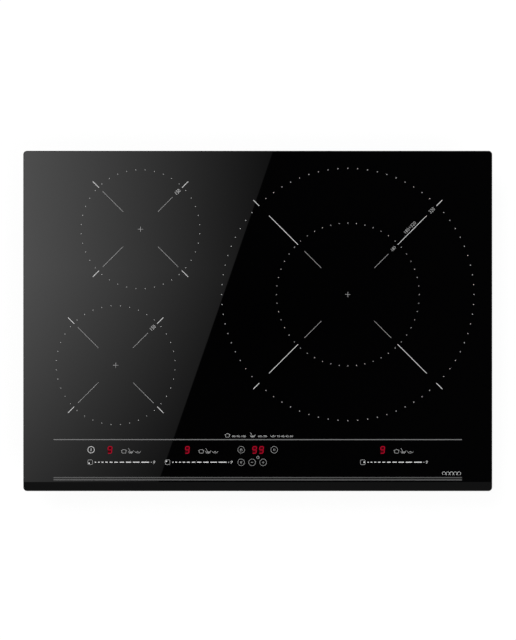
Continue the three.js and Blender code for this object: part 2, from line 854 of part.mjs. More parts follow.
// The scroll's outline: a spiral that grows round the rotor, then a straight duct to the mouth at -Y.
function scrollShape(offset, mouth) {
  const sweep = 2 * Math.PI + tongueAngle;
  const steps = 20;
  const points = [];
  for (let i = 0; i <= steps; i++) {
    const share = i / steps;
    const angle = tongueAngle - share * sweep;
    const r = scrollStart + offset + fan.spread * share;
    points.push([r * Math.cos(angle), r * Math.sin(angle)]);
  }
  points.push([mouthRight + offset, -mouth], [points[0][0] - offset, -mouth]);
  return polygon(points.reverse());
}

function fanHousingBody() {
  const low = shelf;
  const top = low + fan.height;
  const w = fan.wall;
  const scroll = cut(
    slab(scrollShape(w, fan.duct), low, top),
    slab(scrollShape(0, fan.duct + 1), low + w, top - w),
    rod(fan.inletRadius, low - 1, low + w + 1, 0, 0, 24),
  );
  const shaft = rod(fan.shaftRadius, low + w + fan.rotorLift, top - w / 2);
  return join(scroll, shaft, rod(fan.bossRadius, top - w - fan.bossDepth, top - w / 2, 0, 0, 20));
}

// A backward-curved impeller: hub, cover disc, blades and a tie ring.
function fanRotorBody() {
  const low = shelf + fan.wall + fan.rotorLift;
  const top = shelf + fan.height - fan.wall - fan.bossDepth - fit.hole;
  const disc = fan.disc;
  const outer = fan.radius;
  const bends = 2;
  const blades = [];
  for (let i = 0; i < fan.blades; i++) {
    const side = (offset) => {
      const points = [];
      for (let k = 0; k <= bends; k++) {
        const r = THREE.MathUtils.lerp(fan.bladeRoot, outer - 0.5, k / bends);
        const angle = (-0.45 * (r - fan.bladeRoot)) / (outer - fan.bladeRoot) + offset / r;
        points.push([r * Math.cos(angle), r * Math.sin(angle)]);
      }
      return points;
    };
    const outline = polygon([...side(-fan.bladeThickness / 2), ...side(fan.bladeThickness / 2).reverse()]);
    blades.push(turned(slab(outline, low + 0.5, top - 0.5), (i * 360) / fan.blades));
  }
  const hub = rod(fan.hubRadius, low + 2 * disc, top, 0, 0, 20);
  const cover = rod(outer, top - disc, top, 0, 0, 28);
  const tie = annulus(fan.bladeRoot + 6, outer, low, low + disc, 14);
  const bore = rod(fan.shaftRadius + fit.hole, low - 1, top + 1);
  return cut(join(cover, hub, tie, ...blades), bore);
}

// leads are the zones whose coils this module drives.
function powerModule(name, side, leads) {
  const group = new THREE.Group();
  group.position.set(side * moduleX, moduleY, 0);
  const posts = leads.map((zone) => {
    const end = alongLead(zone, leadRoutes[zone].end);
    return new THREE.Vector2(side * end.x - moduleX, end.y - moduleY);
  });
  const [sinkX, sinkZ] = [side * heatsinkX, boardTop + fit.seat];
  const [wheelX, wheelY] = [side * fanX, fanY - moduleY];
  const { aluminium, blackPlastic, circuit } = materials;
  group.add(
    mesh(`board_carrier_${name}`, carrierBody(), blackPlastic),
    mesh(`power_board_${name}`, handed(powerBoardBody(posts), side), circuit),
    mesh(`heatsink_${name}`, heatsinkBody(), aluminium, sinkX, 0, sinkZ),
    mesh(`fan_housing_${name}`, handed(fanHousingBody(), side), blackPlastic, wheelX, wheelY),
    mesh(`fan_rotor_${name}`, handed(fanRotorBody(), side), blackPlastic, wheelX, wheelY),
  );
  return group;
}

// ---------------------------------------------------------------- mains inlet

function filterBoard() {
  const left = -filter.width / 2;
  const { footRadius, footInset } = filter;
  const feet = [filterFront + footInset, filterRear - footInset].flatMap((y) =>
    [left + footInset, -left - footInset].map((x) => rod(footRadius, shelf, boardLow + fit.loose, x, y, 10)),
  );
  const box = (part, y) => {
    const x = left + part.left;
    return block(x, x + part.width, y, y + part.depth, boardRoot, boardTop + part.height);
  };
  const { can } = filterParts;
  const body = join(
    block(left, -left, filterFront, filterRear, boardLow, boardTop),
    ...feet,
    ...filterParts.rear.map((part) => box(part, filterRear - part.from - part.depth)),
    ...filterParts.front.map((part) => box(part, filterFront + part.from)),
    rod(can.radius, boardRoot, boardTop + can.height, left + can.left, filterFront + can.front, 16),
  );
  return mesh("filter_board", body, materials.circuit);
}

function mainsChoke() {
  const torus = new THREE.TorusGeometry(choke.radius, choke.tube, 8, 18);
  const [x, y] = [choke.left - filter.width / 2, filterRear - choke.fromRear];
  return mesh("mains_choke", solid(torus), materials.copper, x, y, boardTop + fit.seat + choke.tube);
}

function terminalBox() {
  const [x, w] = [terminal.width / 2, terminal.wall];
  const top = shelf + terminal.height;
  const [front, rear] = [terminalFront, terminalRear];
  const shell = cut(
    block(-x, x, front, rear, shelf, top),
    block(-x + w, x - w, front + w, rear - w, shelf - 1, terminalCeiling),
    rodY(terminal.cableRadius, rear - w - 1, rear + 1, 0, terminal.cableZ),
    rodX(lid.trunnionRadius + fit.hole, -x - 1, x + 1, hingeY, hingeZ, 12),
  );
  const bosses = [-1, 1].map((side) =>
    rod(
      terminal.saddle.bossRadius,
      terminal.cableZ + fit.seat,
      terminalCeiling + 0.5,
      side * terminal.saddle.bossX,
      saddleY,
      12,
    ),
  );
  return mesh("terminal_box", join(shell, ...bosses), materials.blackPlastic, terminal.x, 0, 0);
}

function terminalBlock() {
  const { width, depth, height, ways, screwRadius, screwDepth } = terminal.block;
  const y = terminalFront + terminal.wall + lidSwing + depth / 2 + 4;
  const top = terminalCeiling - fit.seat;
  const pitch = width / ways;
  const low = top - height;
  const sockets = [];
  for (let i = 0; i < ways; i++) {
    const x = (i - (ways - 1) / 2) * pitch;
    sockets.push(rod(screwRadius, low - 1, low + screwDepth, x, 0, 10));
  }
  const body = cut(block(-width / 2, width / 2, -depth / 2, depth / 2, low, top), ...sockets);
  return mesh("terminal_block", body, materials.nylon, terminal.x, y, 0);
}

// The saddle that grips the cable against the box, under two bosses.
function cableClamp() {
  const { width, depth, foot } = terminal.saddle;
  const top = terminal.cableZ;
  const bar = block(-width / 2, width / 2, -depth / 2, depth / 2, top - terminal.cableRadius - foot / 2, top);
  const groove = rodY(terminal.cableRadius, -depth, depth, 0, top);
  return mesh("cable_clamp", cut(bar, groove), materials.nylon, terminal.x, saddleY, 0);
}

// A flush cover in the casing's floor, hinged at its front edge on two trunnions.
function terminalLid() {
  const half = lidWindow.halfWidth - fit.loose;
  const rear = lidWindow.rear - fit.loose - hingeY;
  const [under, over] = [floorUnderside - hingeZ, floorUnderside + lid.thickness - hingeZ];
  const wallInside = terminal.width / 2 - terminal.wall;
  const arms = [-1, 1].map((side) => {
    const [near, far] = [side * half, side * (half - lid.armThickness)];
    const [x0, x1] = [Math.min(near, far), Math.max(near, far)];
    const arm = block(x0, x1, -lid.lip, lid.lip, under + 0.5, lid.trunnionRadius);
    const pin = side * (wallInside + terminal.wall / 2);
    return join(arm, rodX(lid.trunnionRadius, Math.min(far, pin), Math.max(far, pin), 0, 0, 12));
  });
  const catchHalf = lid.catchWidth / 2;
  const catchTop = over + lid.catchHeight;
  const catchTab = block(-catchHalf, catchHalf, rear - lid.thickness, rear, over - 0.5, catchTop);
  const plate = block(-half, half, -lid.lip, rear, under, over);
  const body = join(plate, catchTab, ...arms);
  return mesh("terminal_lid", body, materials.blackPlastic, terminal.x, hingeY, hingeZ);
}

// ---------------------------------------------------------------- touch control

function controlCarrier() {
  const [w, d, half] = [control.width / 2, control.depth, control.leg / 2];
  const top = controlLow - fit.seat;
  const plate = moved(rectangleRing(control.width, d, 3, control.rail, top - control.carrier, top), 0, d / 2);
  const bars = [-1, 0, 1].map((step) => {
    const [x, wide] = [step * control.barPitch, control.barWidth / 2];
    return block(x - wide, x + wide, 1, d - 1, top - control.carrier, top);
  });
  const legs = [half - w, -control.innerLeg, control.innerLeg, w - half].flatMap((x) =>
    [half, d - half].map((y) => block(x - half, x + half, y - half, y + half, shelf, top - 0.5)),
  );
  const notch = block(
    ribbon.x - ribbon.width / 2 - fit.loose,
    ribbon.x + ribbon.width / 2 + fit.loose,
    d / 2,
    d + 1,
    top - ribbon.thickness - fit.loose,
    top + 1,
  );
  const body = cut(join(plate, ...bars, ...legs), notch);
  return mesh("control_carrier", body, materials.nylon, 0, controlFront, 0);
}

// The board, with a sprung pad under every key and a strip under every slider.
function controlBoard() {
  const half = control.width / 2 - 1;
  const low = control.boardTop - 0.5;
  const pads = [
    ...keysTop.map((x) => rod(control.keyRadius, low, touch, x, control.topRow, 12)),
    ...keysLow.map((x) => rod(control.keyRadius, low, touch, x, control.lowRow, 12)),
    ...sliders.map((x) => {
      const [l, d] = [slider.length / 2, slider.depth / 2];
      return block(x - l, x + l, control.lowRow - d, control.lowRow + d, low, touch);
    }),
  ];
  const plate = block(-half, half, 0.5, control.depth - 0.5, controlLow, control.boardTop);
  return mesh("control_board", join(plate, ...pads), materials.circuit, 0, controlFront, 0);
}

function displayModules() {
  return Object.entries(displays).map(([name, x]) => {
    const half = (name === "timer" ? digit.timerWidth : digit.width) / 2;
    const [low, y] = [control.boardTop + fit.seat, controlFront + control.topRow];
    const body = block(-half, half, -digit.depth / 2, digit.depth / 2, low, low + digit.height);
    return mesh(`display_${name}`, body, materials.display, x, y, 0);
  });
}

// The flat cable from the control board's underside, down behind it and along to the filter board.
function ribbonCable() {
  const start = controlRear - ribbon.underBoard;
  const rear = controlRear + ribbon.behindBoard;
  const end = filterFront - fit.hole;
  const high = controlLow - fit.seat;
  const low = boardLow + 0.25;
  const t = ribbon.thickness;
  const strip = polygon([
    [start, high - t],
    [rear, high - t],
    [rear, low],
    [end, low],
    [end, low + t],
    [rear + t, low + t],
    [rear + t, high],
    [start, high],
  ]);
  const half = ribbon.width / 2;
  return mesh("ribbon_cable", prismX(strip, ribbon.x - half, ribbon.x + half), materials.ribbon);
}

// ---------------------------------------------------------------- assembly

const cooktop = new THREE.Group();
cooktop.add(
  glassPlate(),
  worktopSeal(),
  glassAdhesive(),
  supportFrame(),
  casingTray(),
  coilCarrier(),
  ...Object.keys(zones).map(coilUnit),
  ...Object.keys(zones).map(coilLead),
  powerModule("left", -1, ["left_rear", "left_front"]),
  powerModule("right", 1, ["right"]),
  filterBoard(),
  mainsChoke(),
  terminalBox(),
  terminalBlock(),
  cableClamp(),
  terminalLid(),
  controlCarrier(),
  controlBoard(),
  ...displayModules(),
  ribbonCable(),
  ...worktopClamps(),
  ...clampScrews(),
  caseScrews(),
);

export default cooktop;
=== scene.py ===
# The looks of a built-in induction cooktop with three cooking zones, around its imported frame.
import math
import bmesh
import bpy
from mathutils import Matrix, Vector


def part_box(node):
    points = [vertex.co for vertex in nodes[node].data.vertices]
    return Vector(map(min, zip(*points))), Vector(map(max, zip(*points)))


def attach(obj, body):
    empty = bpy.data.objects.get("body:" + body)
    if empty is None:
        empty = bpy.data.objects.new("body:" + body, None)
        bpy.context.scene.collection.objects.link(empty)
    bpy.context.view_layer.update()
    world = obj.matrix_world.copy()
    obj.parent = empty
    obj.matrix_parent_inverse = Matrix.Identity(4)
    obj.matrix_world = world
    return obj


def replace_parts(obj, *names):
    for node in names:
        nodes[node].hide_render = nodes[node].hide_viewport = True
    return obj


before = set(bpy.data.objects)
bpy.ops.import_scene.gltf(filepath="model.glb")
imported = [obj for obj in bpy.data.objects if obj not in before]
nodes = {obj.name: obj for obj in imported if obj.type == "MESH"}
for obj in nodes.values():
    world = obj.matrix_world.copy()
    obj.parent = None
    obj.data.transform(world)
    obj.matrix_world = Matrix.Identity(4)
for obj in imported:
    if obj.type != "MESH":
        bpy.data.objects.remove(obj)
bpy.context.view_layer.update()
scene = bpy.context.scene
mm = 0.001


# ---- shader maths and nodes

def sign(operation, reflected=False):
    def work(self, value):
        return self.maths(operation, *((value, self) if reflected else (self, value)))
    return work


class Signal:
    # A node's output. Arithmetic on it adds Math nodes.
    def __init__(self, graph, socket):
        self.graph = graph
        self.socket = socket

    def other(self, output):
        return Signal(self.graph, self.socket.node.outputs[output])

    def maths(self, operation, *values):
        return self.graph.node("ShaderNodeMath", dict(enumerate(values)), operation=operation)

    __add__ = __radd__ = sign("ADD")
    __mul__ = __rmul__ = sign("MULTIPLY")
    __sub__, __rsub__ = sign("SUBTRACT"), sign("SUBTRACT", reflected=True)
    __truediv__, __rtruediv__ = sign("DIVIDE"), sign("DIVIDE", reflected=True)
    __pow__ = sign("POWER")
    __gt__ = sign("GREATER_THAN")
    __lt__ = sign("LESS_THAN")
    atLeast = sign("MAXIMUM")
    atMost = sign("MINIMUM")

    def wave(self):
        return self.maths("SINE", self)

    def share(self):
        return self.atLeast(0).atMost(1)


class Graph:
    # A node tree, filled from nothing.
    def __init__(self, tree):
        self.tree = tree
        tree.nodes.clear()

    def node(self, kind, sockets=None, output=0, **settings):
        made = self.tree.nodes.new(kind)
        for name, value in settings.items():
            setattr(made, name, value)
        for name, value in (sockets or {}).items():
            if isinstance(value, Signal):
                self.tree.links.new(value.socket, made.inputs[name])
            else:
                made.inputs[name].default_value = value
        return Signal(self, made.outputs[output]) if made.outputs else None

    def place(self, centre=(0, 0, 0), turn=(0, 0, 0), stretch=(1, 1, 1)):
        at = self.node("ShaderNodeTexCoord", output="Object")
        moved = self.node("ShaderNodeVectorMath", {0: at, 1: centre}, operation="SUBTRACT")
        sockets = {"Vector": moved, "Rotation": turn, "Scale": stretch}
        return self.node("ShaderNodeMapping", sockets)

    def noise(self, size, at=None, detail=2.0, rough=0.5, output="Fac"):
        sockets = {"Vector": at or self.place(), "Scale": 1 / size, "Detail": detail, "Roughness": rough}
        return self.node("ShaderNodeTexNoise", sockets, output)

    def cells(self, size, at=None, output="Distance"):
        sockets = {"Vector": at or self.place(), "Scale": 1 / size}
        return self.node("ShaderNodeTexVoronoi", sockets, output)

    def mix(self, factor, first, second):
        # Each colour is a signal or its red, green and blue.
        colours = [c if isinstance(c, Signal) else (*c, 1.0) for c in (first, second)]
        sockets = {0: factor, 6: colours[0], 7: colours[1]}
        return self.node("ShaderNodeMix", sockets, output=2, data_type="RGBA")

    def bump(self, height, depth, strength=1.0):
        sockets = {"Strength": strength, "Distance": depth, "Height": height}
        return self.node("ShaderNodeBump", sockets)


def newMaterial(name):
    material = bpy.data.materials.new(name)
    material.use_nodes = True
    return material, Graph(material.node_tree)


def surface(tone, dark, light, rough, relief=None, depth=0.0):
    # What varies over a finish: its colour from dark to light, its roughness, and a relief if it has one.
    graph = tone.graph
    varying = {"Base Color": graph.mix(tone, dark, light), "Roughness": rough}
    if relief:
        varying["Normal"] = graph.bump(relief, depth)
    return varying


def newFinish(name, describe, **values):
    # describe(graph) gives what varies on the Principled shader, and values what is constant on it.
    material, graph = newMaterial(name)
    sockets = {key.replace("_", " "): value for key, value in values.items()}
    sockets.update(describe(graph))
    shader = graph.node("ShaderNodeBsdfPrincipled", sockets)
    graph.node("ShaderNodeOutputMaterial", {"Surface": shader})
    return material


# ---- finishes

def blackGlass(graph):
    # Ceramic glass is polished, with a breath of wiping marks.
    smear = graph.noise(0.09, graph.place(stretch=(1, 3, 1)), detail=4)
    fine = graph.noise(0.004)
    return surface(fine, (0.0003, 0.0003, 0.0004), (0.0006, 0.0006, 0.0007), 0.002 + smear * 0.006)


def grained(dark, light, size, detail, rough, spread, depth=0.0):
    # A finish whose one grain tints, roughens and dents it.
    def describe(graph):
        grain = graph.noise(size, detail=detail)
        return surface(grain, dark, light, rough + grain * spread, grain if depth else None, depth)
    return describe


def enamel(tone):
    # Screen-printed ceramic ink: tone is its lightness.
    return grained([tone * 0.9] * 3, [min(tone * 1.1, 1)] * 3, 0.0007, 3, 0.06, 0.1)


def litSegment(share):
    # A lit figure under smoked glass: share is its brightness.
    def describe(graph):
        glow = graph.noise(0.004)
        low = [share * level for level in (0.30, 0.001, 0.013)]
        high = [share * level for level in (0.37, 0.003, 0.021)]
        varying = surface(glow, (0.004, 0.0002, 0.0002), (0.008, 0.0004, 0.0004), 0.3 + glow * 0.1)
        return {**varying, "Emission Color": graph.mix(glow, low, high)}
    return describe


def blackFoam(graph):
    # Each pore is darkest at its middle, where the relief sinks: painted shade in the pores.
    poreDepthAndShade = graph.cells(0.0009)
    skin = graph.noise(0.006, detail=3)
    rough = 0.85 + skin * 0.12
    return surface(poreDepthAndShade, (0.006, 0.006, 0.006), (0.022, 0.022, 0.023), rough, poreDepthAndShade + skin, 0.0004)


def galvanisedSteel(graph):
    # Spangle: each crystal of zinc has its own tone, crossed by rolling marks and faint blotches.
    at = graph.place()
    sockets = {0: graph.noise(0.004, at, output="Color"), 1: (0.0016, 0.0016, 0.0016), 2: at}
    warp = graph.node("ShaderNodeVectorMath", sockets, operation="MULTIPLY_ADD")
    crystal, small = [
        graph.node("ShaderNodeSeparateColor", {0: graph.cells(size, warp, output="Color")})
        for size in (0.0055, 0.0022)
    ]
    streak = graph.noise(0.02, graph.place(stretch=(0.12, 5, 5)), detail=5, rough=0.6)
    blotch = graph.noise(0.12, at, detail=3)
    tone = crystal * 0.24 + small * 0.14 + streak * 0.34 + blotch * 0.28
    rough = 0.30 + crystal.other("Green") * 0.09 + small.other("Green") * 0.05 + streak * 0.14
    varying = surface(tone, (0.37, 0.38, 0.395), (0.60, 0.61, 0.62), rough)
    return {**varying, "Metallic": 0.86 + blotch * 0.1, "Normal": graph.bump(streak, 0.00006, 0.6)}


def aluminium(graph):
    grain = graph.noise(0.004, graph.place(stretch=(0.05, 8, 8)), detail=4)
    rough = 0.26 + grain * 0.16 + graph.noise(0.06, detail=3) * 0.08
    return surface(grain, (0.56, 0.57, 0.58), (0.74, 0.75, 0.76), rough, grain, 0.00004)


def springSteel(graph):
    rolled = graph.noise(0.003, graph.place(stretch=(1, 0.08, 1)), detail=4)
    temper = graph.noise(0.018, detail=3)
    rough = 0.24 + rolled * 0.16 + temper * 0.08
    return surface(temper, (0.17, 0.175, 0.185), (0.30, 0.295, 0.285), rough, rolled, 0.00004)


def zincScrew(graph):
    film = graph.noise(0.0025, detail=3)
    wear = graph.noise(0.0006, detail=2)
    return surface(film, (0.46, 0.46, 0.43), (0.66, 0.66, 0.65), 0.20 + wear * 0.16, wear, 0.00003)


def litzWire(centre, lays):
    # Twisted strands of enamelled copper, wound round a centre. lays is how often they repeat in a turn.
    def describe(graph):
        at = graph.node("ShaderNodeSeparateXYZ", {0: graph.place(centre)})
        x, y = at, at.other("Y")
        radius = (x * x + y * y) ** 0.5
        strand = (y.maths("ARCTAN2", y, x) * lays + radius * (2 * math.pi / 0.0011)).wave()
        # The strand wave darkens the copper in the grooves between strands: painted shade, over noise that
        # is the wire's own varying tone.
        strandShadeAndTone = (strand * 0.3 + graph.noise(0.004, detail=3) * 0.5 + 0.3).share()
        return surface(strandShadeAndTone, (0.16, 0.042, 0.016), (0.58, 0.20, 0.08), 0.5 - strandShadeAndTone * 0.2, strand, 0.0002)
    return describe


def mouldedPlastic(dark, light, grainSize=0.0007, shine=0.42):
    def describe(graph):
        grain = graph.noise(grainSize, detail=4, rough=0.6)
        flow = graph.noise(0.05, detail=2)
        return surface(flow, dark, light, shine + grain * 0.2 + flow * 0.08, grain, 0.00006)
    return describe


def mineralFelt(graph):
    places = [graph.place(turn=(0, 0, turn), stretch=(0.15, 3, 1)) for turn in (0.5, -0.9)]
    along, across = [graph.noise(0.003, at, detail=4) for at in places]
    fibre = (along + across) * 0.5
    return surface(fibre, (0.52, 0.49, 0.42), (0.86, 0.84, 0.78), 0.85 + fibre * 0.12, fibre, 0.0005)


def circuitBoard(graph):
    # Green resist over straight tracks, which run one way or the other from patch to patch.
    lanes = []
    for turn in (0, math.pi / 2):
        sockets = {"Scale": 100, "Brick Width": 1.7, "Row Height": 0.19, "Mortar Size": 0.03}
        sockets["Vector"] = graph.place(turn=(0, 0, turn))
        lanes.append(graph.node("ShaderNodeTexBrick", sockets, "Fac"))
    flat = graph.place(stretch=(1, 1, 0.01))
    patch = graph.cells(0.02, flat, output="Color") > 0.5
    track = lanes[0] * patch + lanes[1] * (1 - patch)
    pads = ((0.16 - graph.cells(0.005, flat)) * 30).share()
    grain = graph.noise(0.0012, detail=3)
    board = graph.mix(track, (0.010, 0.075, 0.030), (0.035, 0.16, 0.070))
    rough = 0.30 + grain * 0.15 + track * 0.08
    return surface(pads, board, (0.58, 0.56, 0.50), rough, track * 0.5 + pads + grain * 0.2, 0.00005)


def ribbonCable(graph):
    x = graph.node("ShaderNodeSeparateXYZ", {0: graph.place()})
    # The wave that raises each conductor's ridge also darkens the grey in the grooves between them: painted
    # shade.
    ridgeHeightAndShade = (x * (2 * math.pi / 0.00127)).wave() * 0.5 + 0.5
    rough = 0.4 + graph.noise(0.01, detail=3) * 0.2
    return surface(ridgeHeightAndShade, (0.20, 0.20, 0.21), (0.36, 0.36, 0.37), rough, ridgeHeightAndShade, 0.0004)


def glassSleeve(graph):
    # Braided sleeving: two sets of slanting threads.
    places = [graph.place(turn=turn, stretch=(1, 1, 0.3)) for turn in ((0.8, 0.3, 0), (-0.8, -0.3, 0))]
    left, right = [(graph.noise(0.0012, at) * 3).share() for at in places]
    weave = (left + right) * 0.5
    return surface(weave, (0.38, 0.34, 0.27), (0.66, 0.61, 0.52), 0.75 + weave * 0.15, weave, 0.0003)


def centreOf(node):
    low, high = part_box(node)
    return (low + high) / 2


zoneNames = ["left_rear", "left_front", "right"]
zoneCentres = {name: centreOf("coil_former_" + name) for name in zoneNames}

finishes = {
    "glass": newFinish("blackGlass", blackGlass, IOR=1.5),
    "digits": newFinish("litSegments", litSegment(1.05), Emission_Strength=1.0, Specular_IOR_Level=0.05),
    "haze": newFinish("segmentHaze", litSegment(0.14), Emission_Strength=1.0, Specular_IOR_Level=0.05),
    "foam": newFinish("blackFoam", blackFoam),
    "steel": newFinish("galvanisedSteel", galvanisedSteel),
    "aluminium": newFinish("rolledAluminium", aluminium, Metallic=1.0),
    "spring": newFinish("springSteel", springSteel, Metallic=1.0),
    "screw": newFinish("zincPlate", zincScrew, Metallic=1.0),
    "felt": newFinish("mineralFelt", mineralFelt),
    "board": newFinish("circuitBoard", circuitBoard),
    "ribbon": newFinish("greyRibbon", ribbonCable),
    "sleeve": newFinish("glassSleeve", glassSleeve),
}
inkTones = {"white": 0.82, "bright": 0.60, "soft": 0.38, "dim": 0.17, "faint": 0.085}
for name, tone in inkTones.items():
    finishes[name] = newFinish(name + "Ink", enamel(tone))
# Dark and light colour, grain size, shine.
mouldings = {
    "former": ((0.018, 0.018, 0.019), (0.03, 0.03, 0.031)),
    "plastic": ((0.010, 0.010, 0.011), (0.020, 0.020, 0.021)),
    "nylon": ((0.66, 0.63, 0.54), (0.78, 0.75, 0.67), 0.0015, 0.35),
    "film": ((0.40, 0.18, 0.02), (0.52, 0.27, 0.035), 0.0015, 0.3),
    "can": ((0.010, 0.016, 0.05), (0.018, 0.03, 0.09), 0.0015, 0.25),
    "core": ((0.015, 0.07, 0.035), (0.03, 0.11, 0.055), 0.0015, 0.3),
}
for name, look in mouldings.items():
    finishes[name] = newFinish(name + "Moulding", mouldedPlastic(*look))
# Dark and light colour, grain size, its detail, roughness and what the grain adds to it, depth.
grains = {
    "edge": ((0.003,) * 3, (0.009,) * 3, 0.0006, 4, 0.35, 0.25, 0.00003),
    "silicone": ((0.014, 0.014, 0.016), (0.026, 0.026, 0.029), 0.005, 3, 0.4, 0.2, 0.0005),
    "filter": ((0.030, 0.0015, 0.002), (0.055, 0.003, 0.004), 0.006, 2, 0.15, 0.12),
    "wire": ((0.30, 0.085, 0.032), (0.60, 0.21, 0.085), 0.003, 3, 0.28, 0.15),
}
constants = {
    "edge": {"IOR": 1.5, "Specular_IOR_Level": 0.3},
    "silicone": {},
    "filter": {"Coat_Weight": 0.4},
    "wire": {"Metallic": 0.35},
}
for name, look in grains.items():
    finishes[name] = newFinish(name + "Grain", grained(*look), **constants[name])
layLength = 3.5 * mm  # of the wire's twist, halfway out
for name in zoneNames:
    low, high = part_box("coil_former_" + name)
    lays = round((high.x - low.x) * math.pi / 2 / layLength)
    wound = litzWire(zoneCentres[name], lays)
    finishes["wire_" + name] = newFinish("litzWire_" + name, wound, Metallic=0.35)
print("finishes: done")


# ---- carried-over nodes

# What the names of the nodes in each finish start with.
nodeFinishes = {
    "silicone": ("glass_adhesive",),
    "steel": ("support_frame",),
    "aluminium": ("coil_plate", "heatsink"),
    "former": ("coil_former",),
    "felt": ("insulation",),
    "nylon": ("sensor", "control_carrier"),
    "spring": ("coil_spring",),
    "sleeve": ("coil_lead",),
    "plastic": ("board_carrier", "fan", "terminal_box"),
    "filter": ("display",),
    "ribbon": ("ribbon_cable",),
}
for nodeName, node in nodes.items():
    for finish, starts in nodeFinishes.items():
        if nodeName.startswith(starts):
            node.data.materials.clear()
            node.data.materials.append(finishes[finish])
print("carried-over nodes: done")


# ---- making pieces

def meshOf(built, name="part"):
    mesh = bpy.data.meshes.new(name)
    built.to_mesh(mesh)
    built.free()
    return mesh


def bmeshOf(mesh):
    built = bmesh.new()
    built.from_mesh(mesh)
    return built


def addPiece(name, built, finishNames, body="housing", smoothAngle=30):
    # Makes a piece of a bmesh that is in place, and lets it ride on its body.
    mesh = meshOf(built, name)
    for finish in finishNames:
        mesh.materials.append(finishes[finish])
    mesh.shade_smooth()
    mesh.set_sharp_from_angle(angle=math.radians(smoothAngle))
    piece = bpy.data.objects.new(name, mesh)
    scene.collection.objects.link(piece)
    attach(piece, body)
    return piece


def copyOf(node):
    # A node's shape with its loose triangles joined.
    built = bmeshOf(nodes[node].data)
    bmesh.ops.remove_doubles(built, verts=built.verts, dist=0.002 * mm)
    bmesh.ops.dissolve_limit(built, angle_limit=math.radians(0.5), verts=built.verts, edges=built.edges)
    return built


def softened(node, name, finish, slot, width, body="housing", segments=2, built=None):
    # A node's shape, or what was made of it, with its edges rounded.
    piece = addPiece(name, built or copyOf(node), [finish], body)
    rounding = piece.modifiers.new("rounding", "BEVEL")
    rounding.width = width
    rounding.segments = segments
    rounding.limit_method = "ANGLE"
    rounding.angle_limit = math.radians(40)
    rounding.harden_normals = True
    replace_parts(piece, node)
    return piece


def everything(built):
    return built.verts[:] + built.edges[:] + built.faces[:]


def move(built, place):
    bmesh.ops.transform(built, matrix=place, verts=built.verts)


def addBox(built, middle, size):
    at = Matrix.Translation(middle) @ Matrix.Diagonal((*size, 1))
    return bmesh.ops.create_cube(built, size=1, matrix=at)["verts"]


def addCone(built, place, radius, endRadius, depth, sides):
    size = {"radius1": radius, "radius2": endRadius, "depth": depth, "segments": sides}
    return bmesh.ops.create_cone(built, cap_ends=True, matrix=place, **size)["verts"]


def steepness(edge):
    # 1 for an upright edge, 0 for a level one.
    return abs((edge.verts[0].co - edge.verts[1].co).normalized().z)


def uprightEdges(built):
    return [e for e in built.edges if steepness(e) > 0.99]


def bevelEdges(built, edges, offset, segments):
    bmesh.ops.bevel(
        built,
        geom=edges,
        offset=offset,
        offset_type="OFFSET",
        segments=segments,
        profile=0.5,
        affect="EDGES",
        material=-1,
    )


# ---- glass

glassSheet = {
    "cornerRadius": 5.5 * mm,
    "cornerSegments": 10,
    "frontSlopeWidth": 13.7 * mm,
    "frontSlopeDrop": 2.2 * mm,
    "arris": 1.1 * mm,
    "arrisSegments": 3,
}


def makeGlass():
    low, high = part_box("glass_plate")
    built = bmesh.new()
    addBox(built, (low + high) / 2, high - low)
    bevelEdges(built, uprightEdges(built), glassSheet["cornerRadius"], glassSheet["cornerSegments"])
    slope = Vector((0, -glassSheet["frontSlopeDrop"], glassSheet["frontSlopeWidth"])).normalized()
    cut = bmesh.ops.bisect_plane(
        built,
        geom=everything(built),
        plane_co=(0, low.y + glassSheet["frontSlopeWidth"], high.z),
        plane_no=slope,
        clear_outer=True,
    )
    rim = [e for e in cut["geom_cut"] if isinstance(e, bmesh.types.BMEdge)]
    bmesh.ops.edgeloop_fill(built, edges=rim)
    bmesh.ops.recalc_face_normals(built, faces=built.faces)
    corners = [e for e in built.edges if e.calc_face_angle(0) > math.radians(60)]
    outline = [e for e in corners if steepness(e) < 0.5]
    bevelEdges(built, outline, glassSheet["arris"], glassSheet["arrisSegments"])
    for face in built.faces:
        face.material_index = 0 if abs(face.normal.z) > 0.97 else 1
    piece = addPiece("glass_sheet", built, ["glass", "edge"], smoothAngle=8)
    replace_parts(piece, "glass_plate")


makeGlass()
print("glass: done")


# ---- prints on the glass

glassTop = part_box("glass_plate")[1].z
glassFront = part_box("glass_plate")[0].y
white, bright, soft, dim, faint = range(len(inkTones))
inkHeight = 0.04  # millimetres, as everything that is drawn
dotTop = 0.9  # a dot's top, as a share of its foot
figureShare = 0.7  # a figure's height, as a share of its font's size


def stamp(built, mesh, tone):
    # Adds a mesh drawn in millimetres to a print.
    for polygon in mesh.polygons:
        polygon.material_index = tone
    built.from_mesh(mesh)
    bpy.data.meshes.remove(mesh)


def evaluated(holder):
    graph = bpy.context.evaluated_depsgraph_get()
    return bpy.data.meshes.new_from_object(holder.evaluated_get(graph))


def drawn(data):
    # The mesh of a curve or a text.
    holder = bpy.data.objects.new("drawn", data)
    scene.collection.objects.link(holder)
    mesh = evaluated(holder)
    bpy.data.objects.remove(holder)
    bpy.data.curves.remove(data)
    return mesh


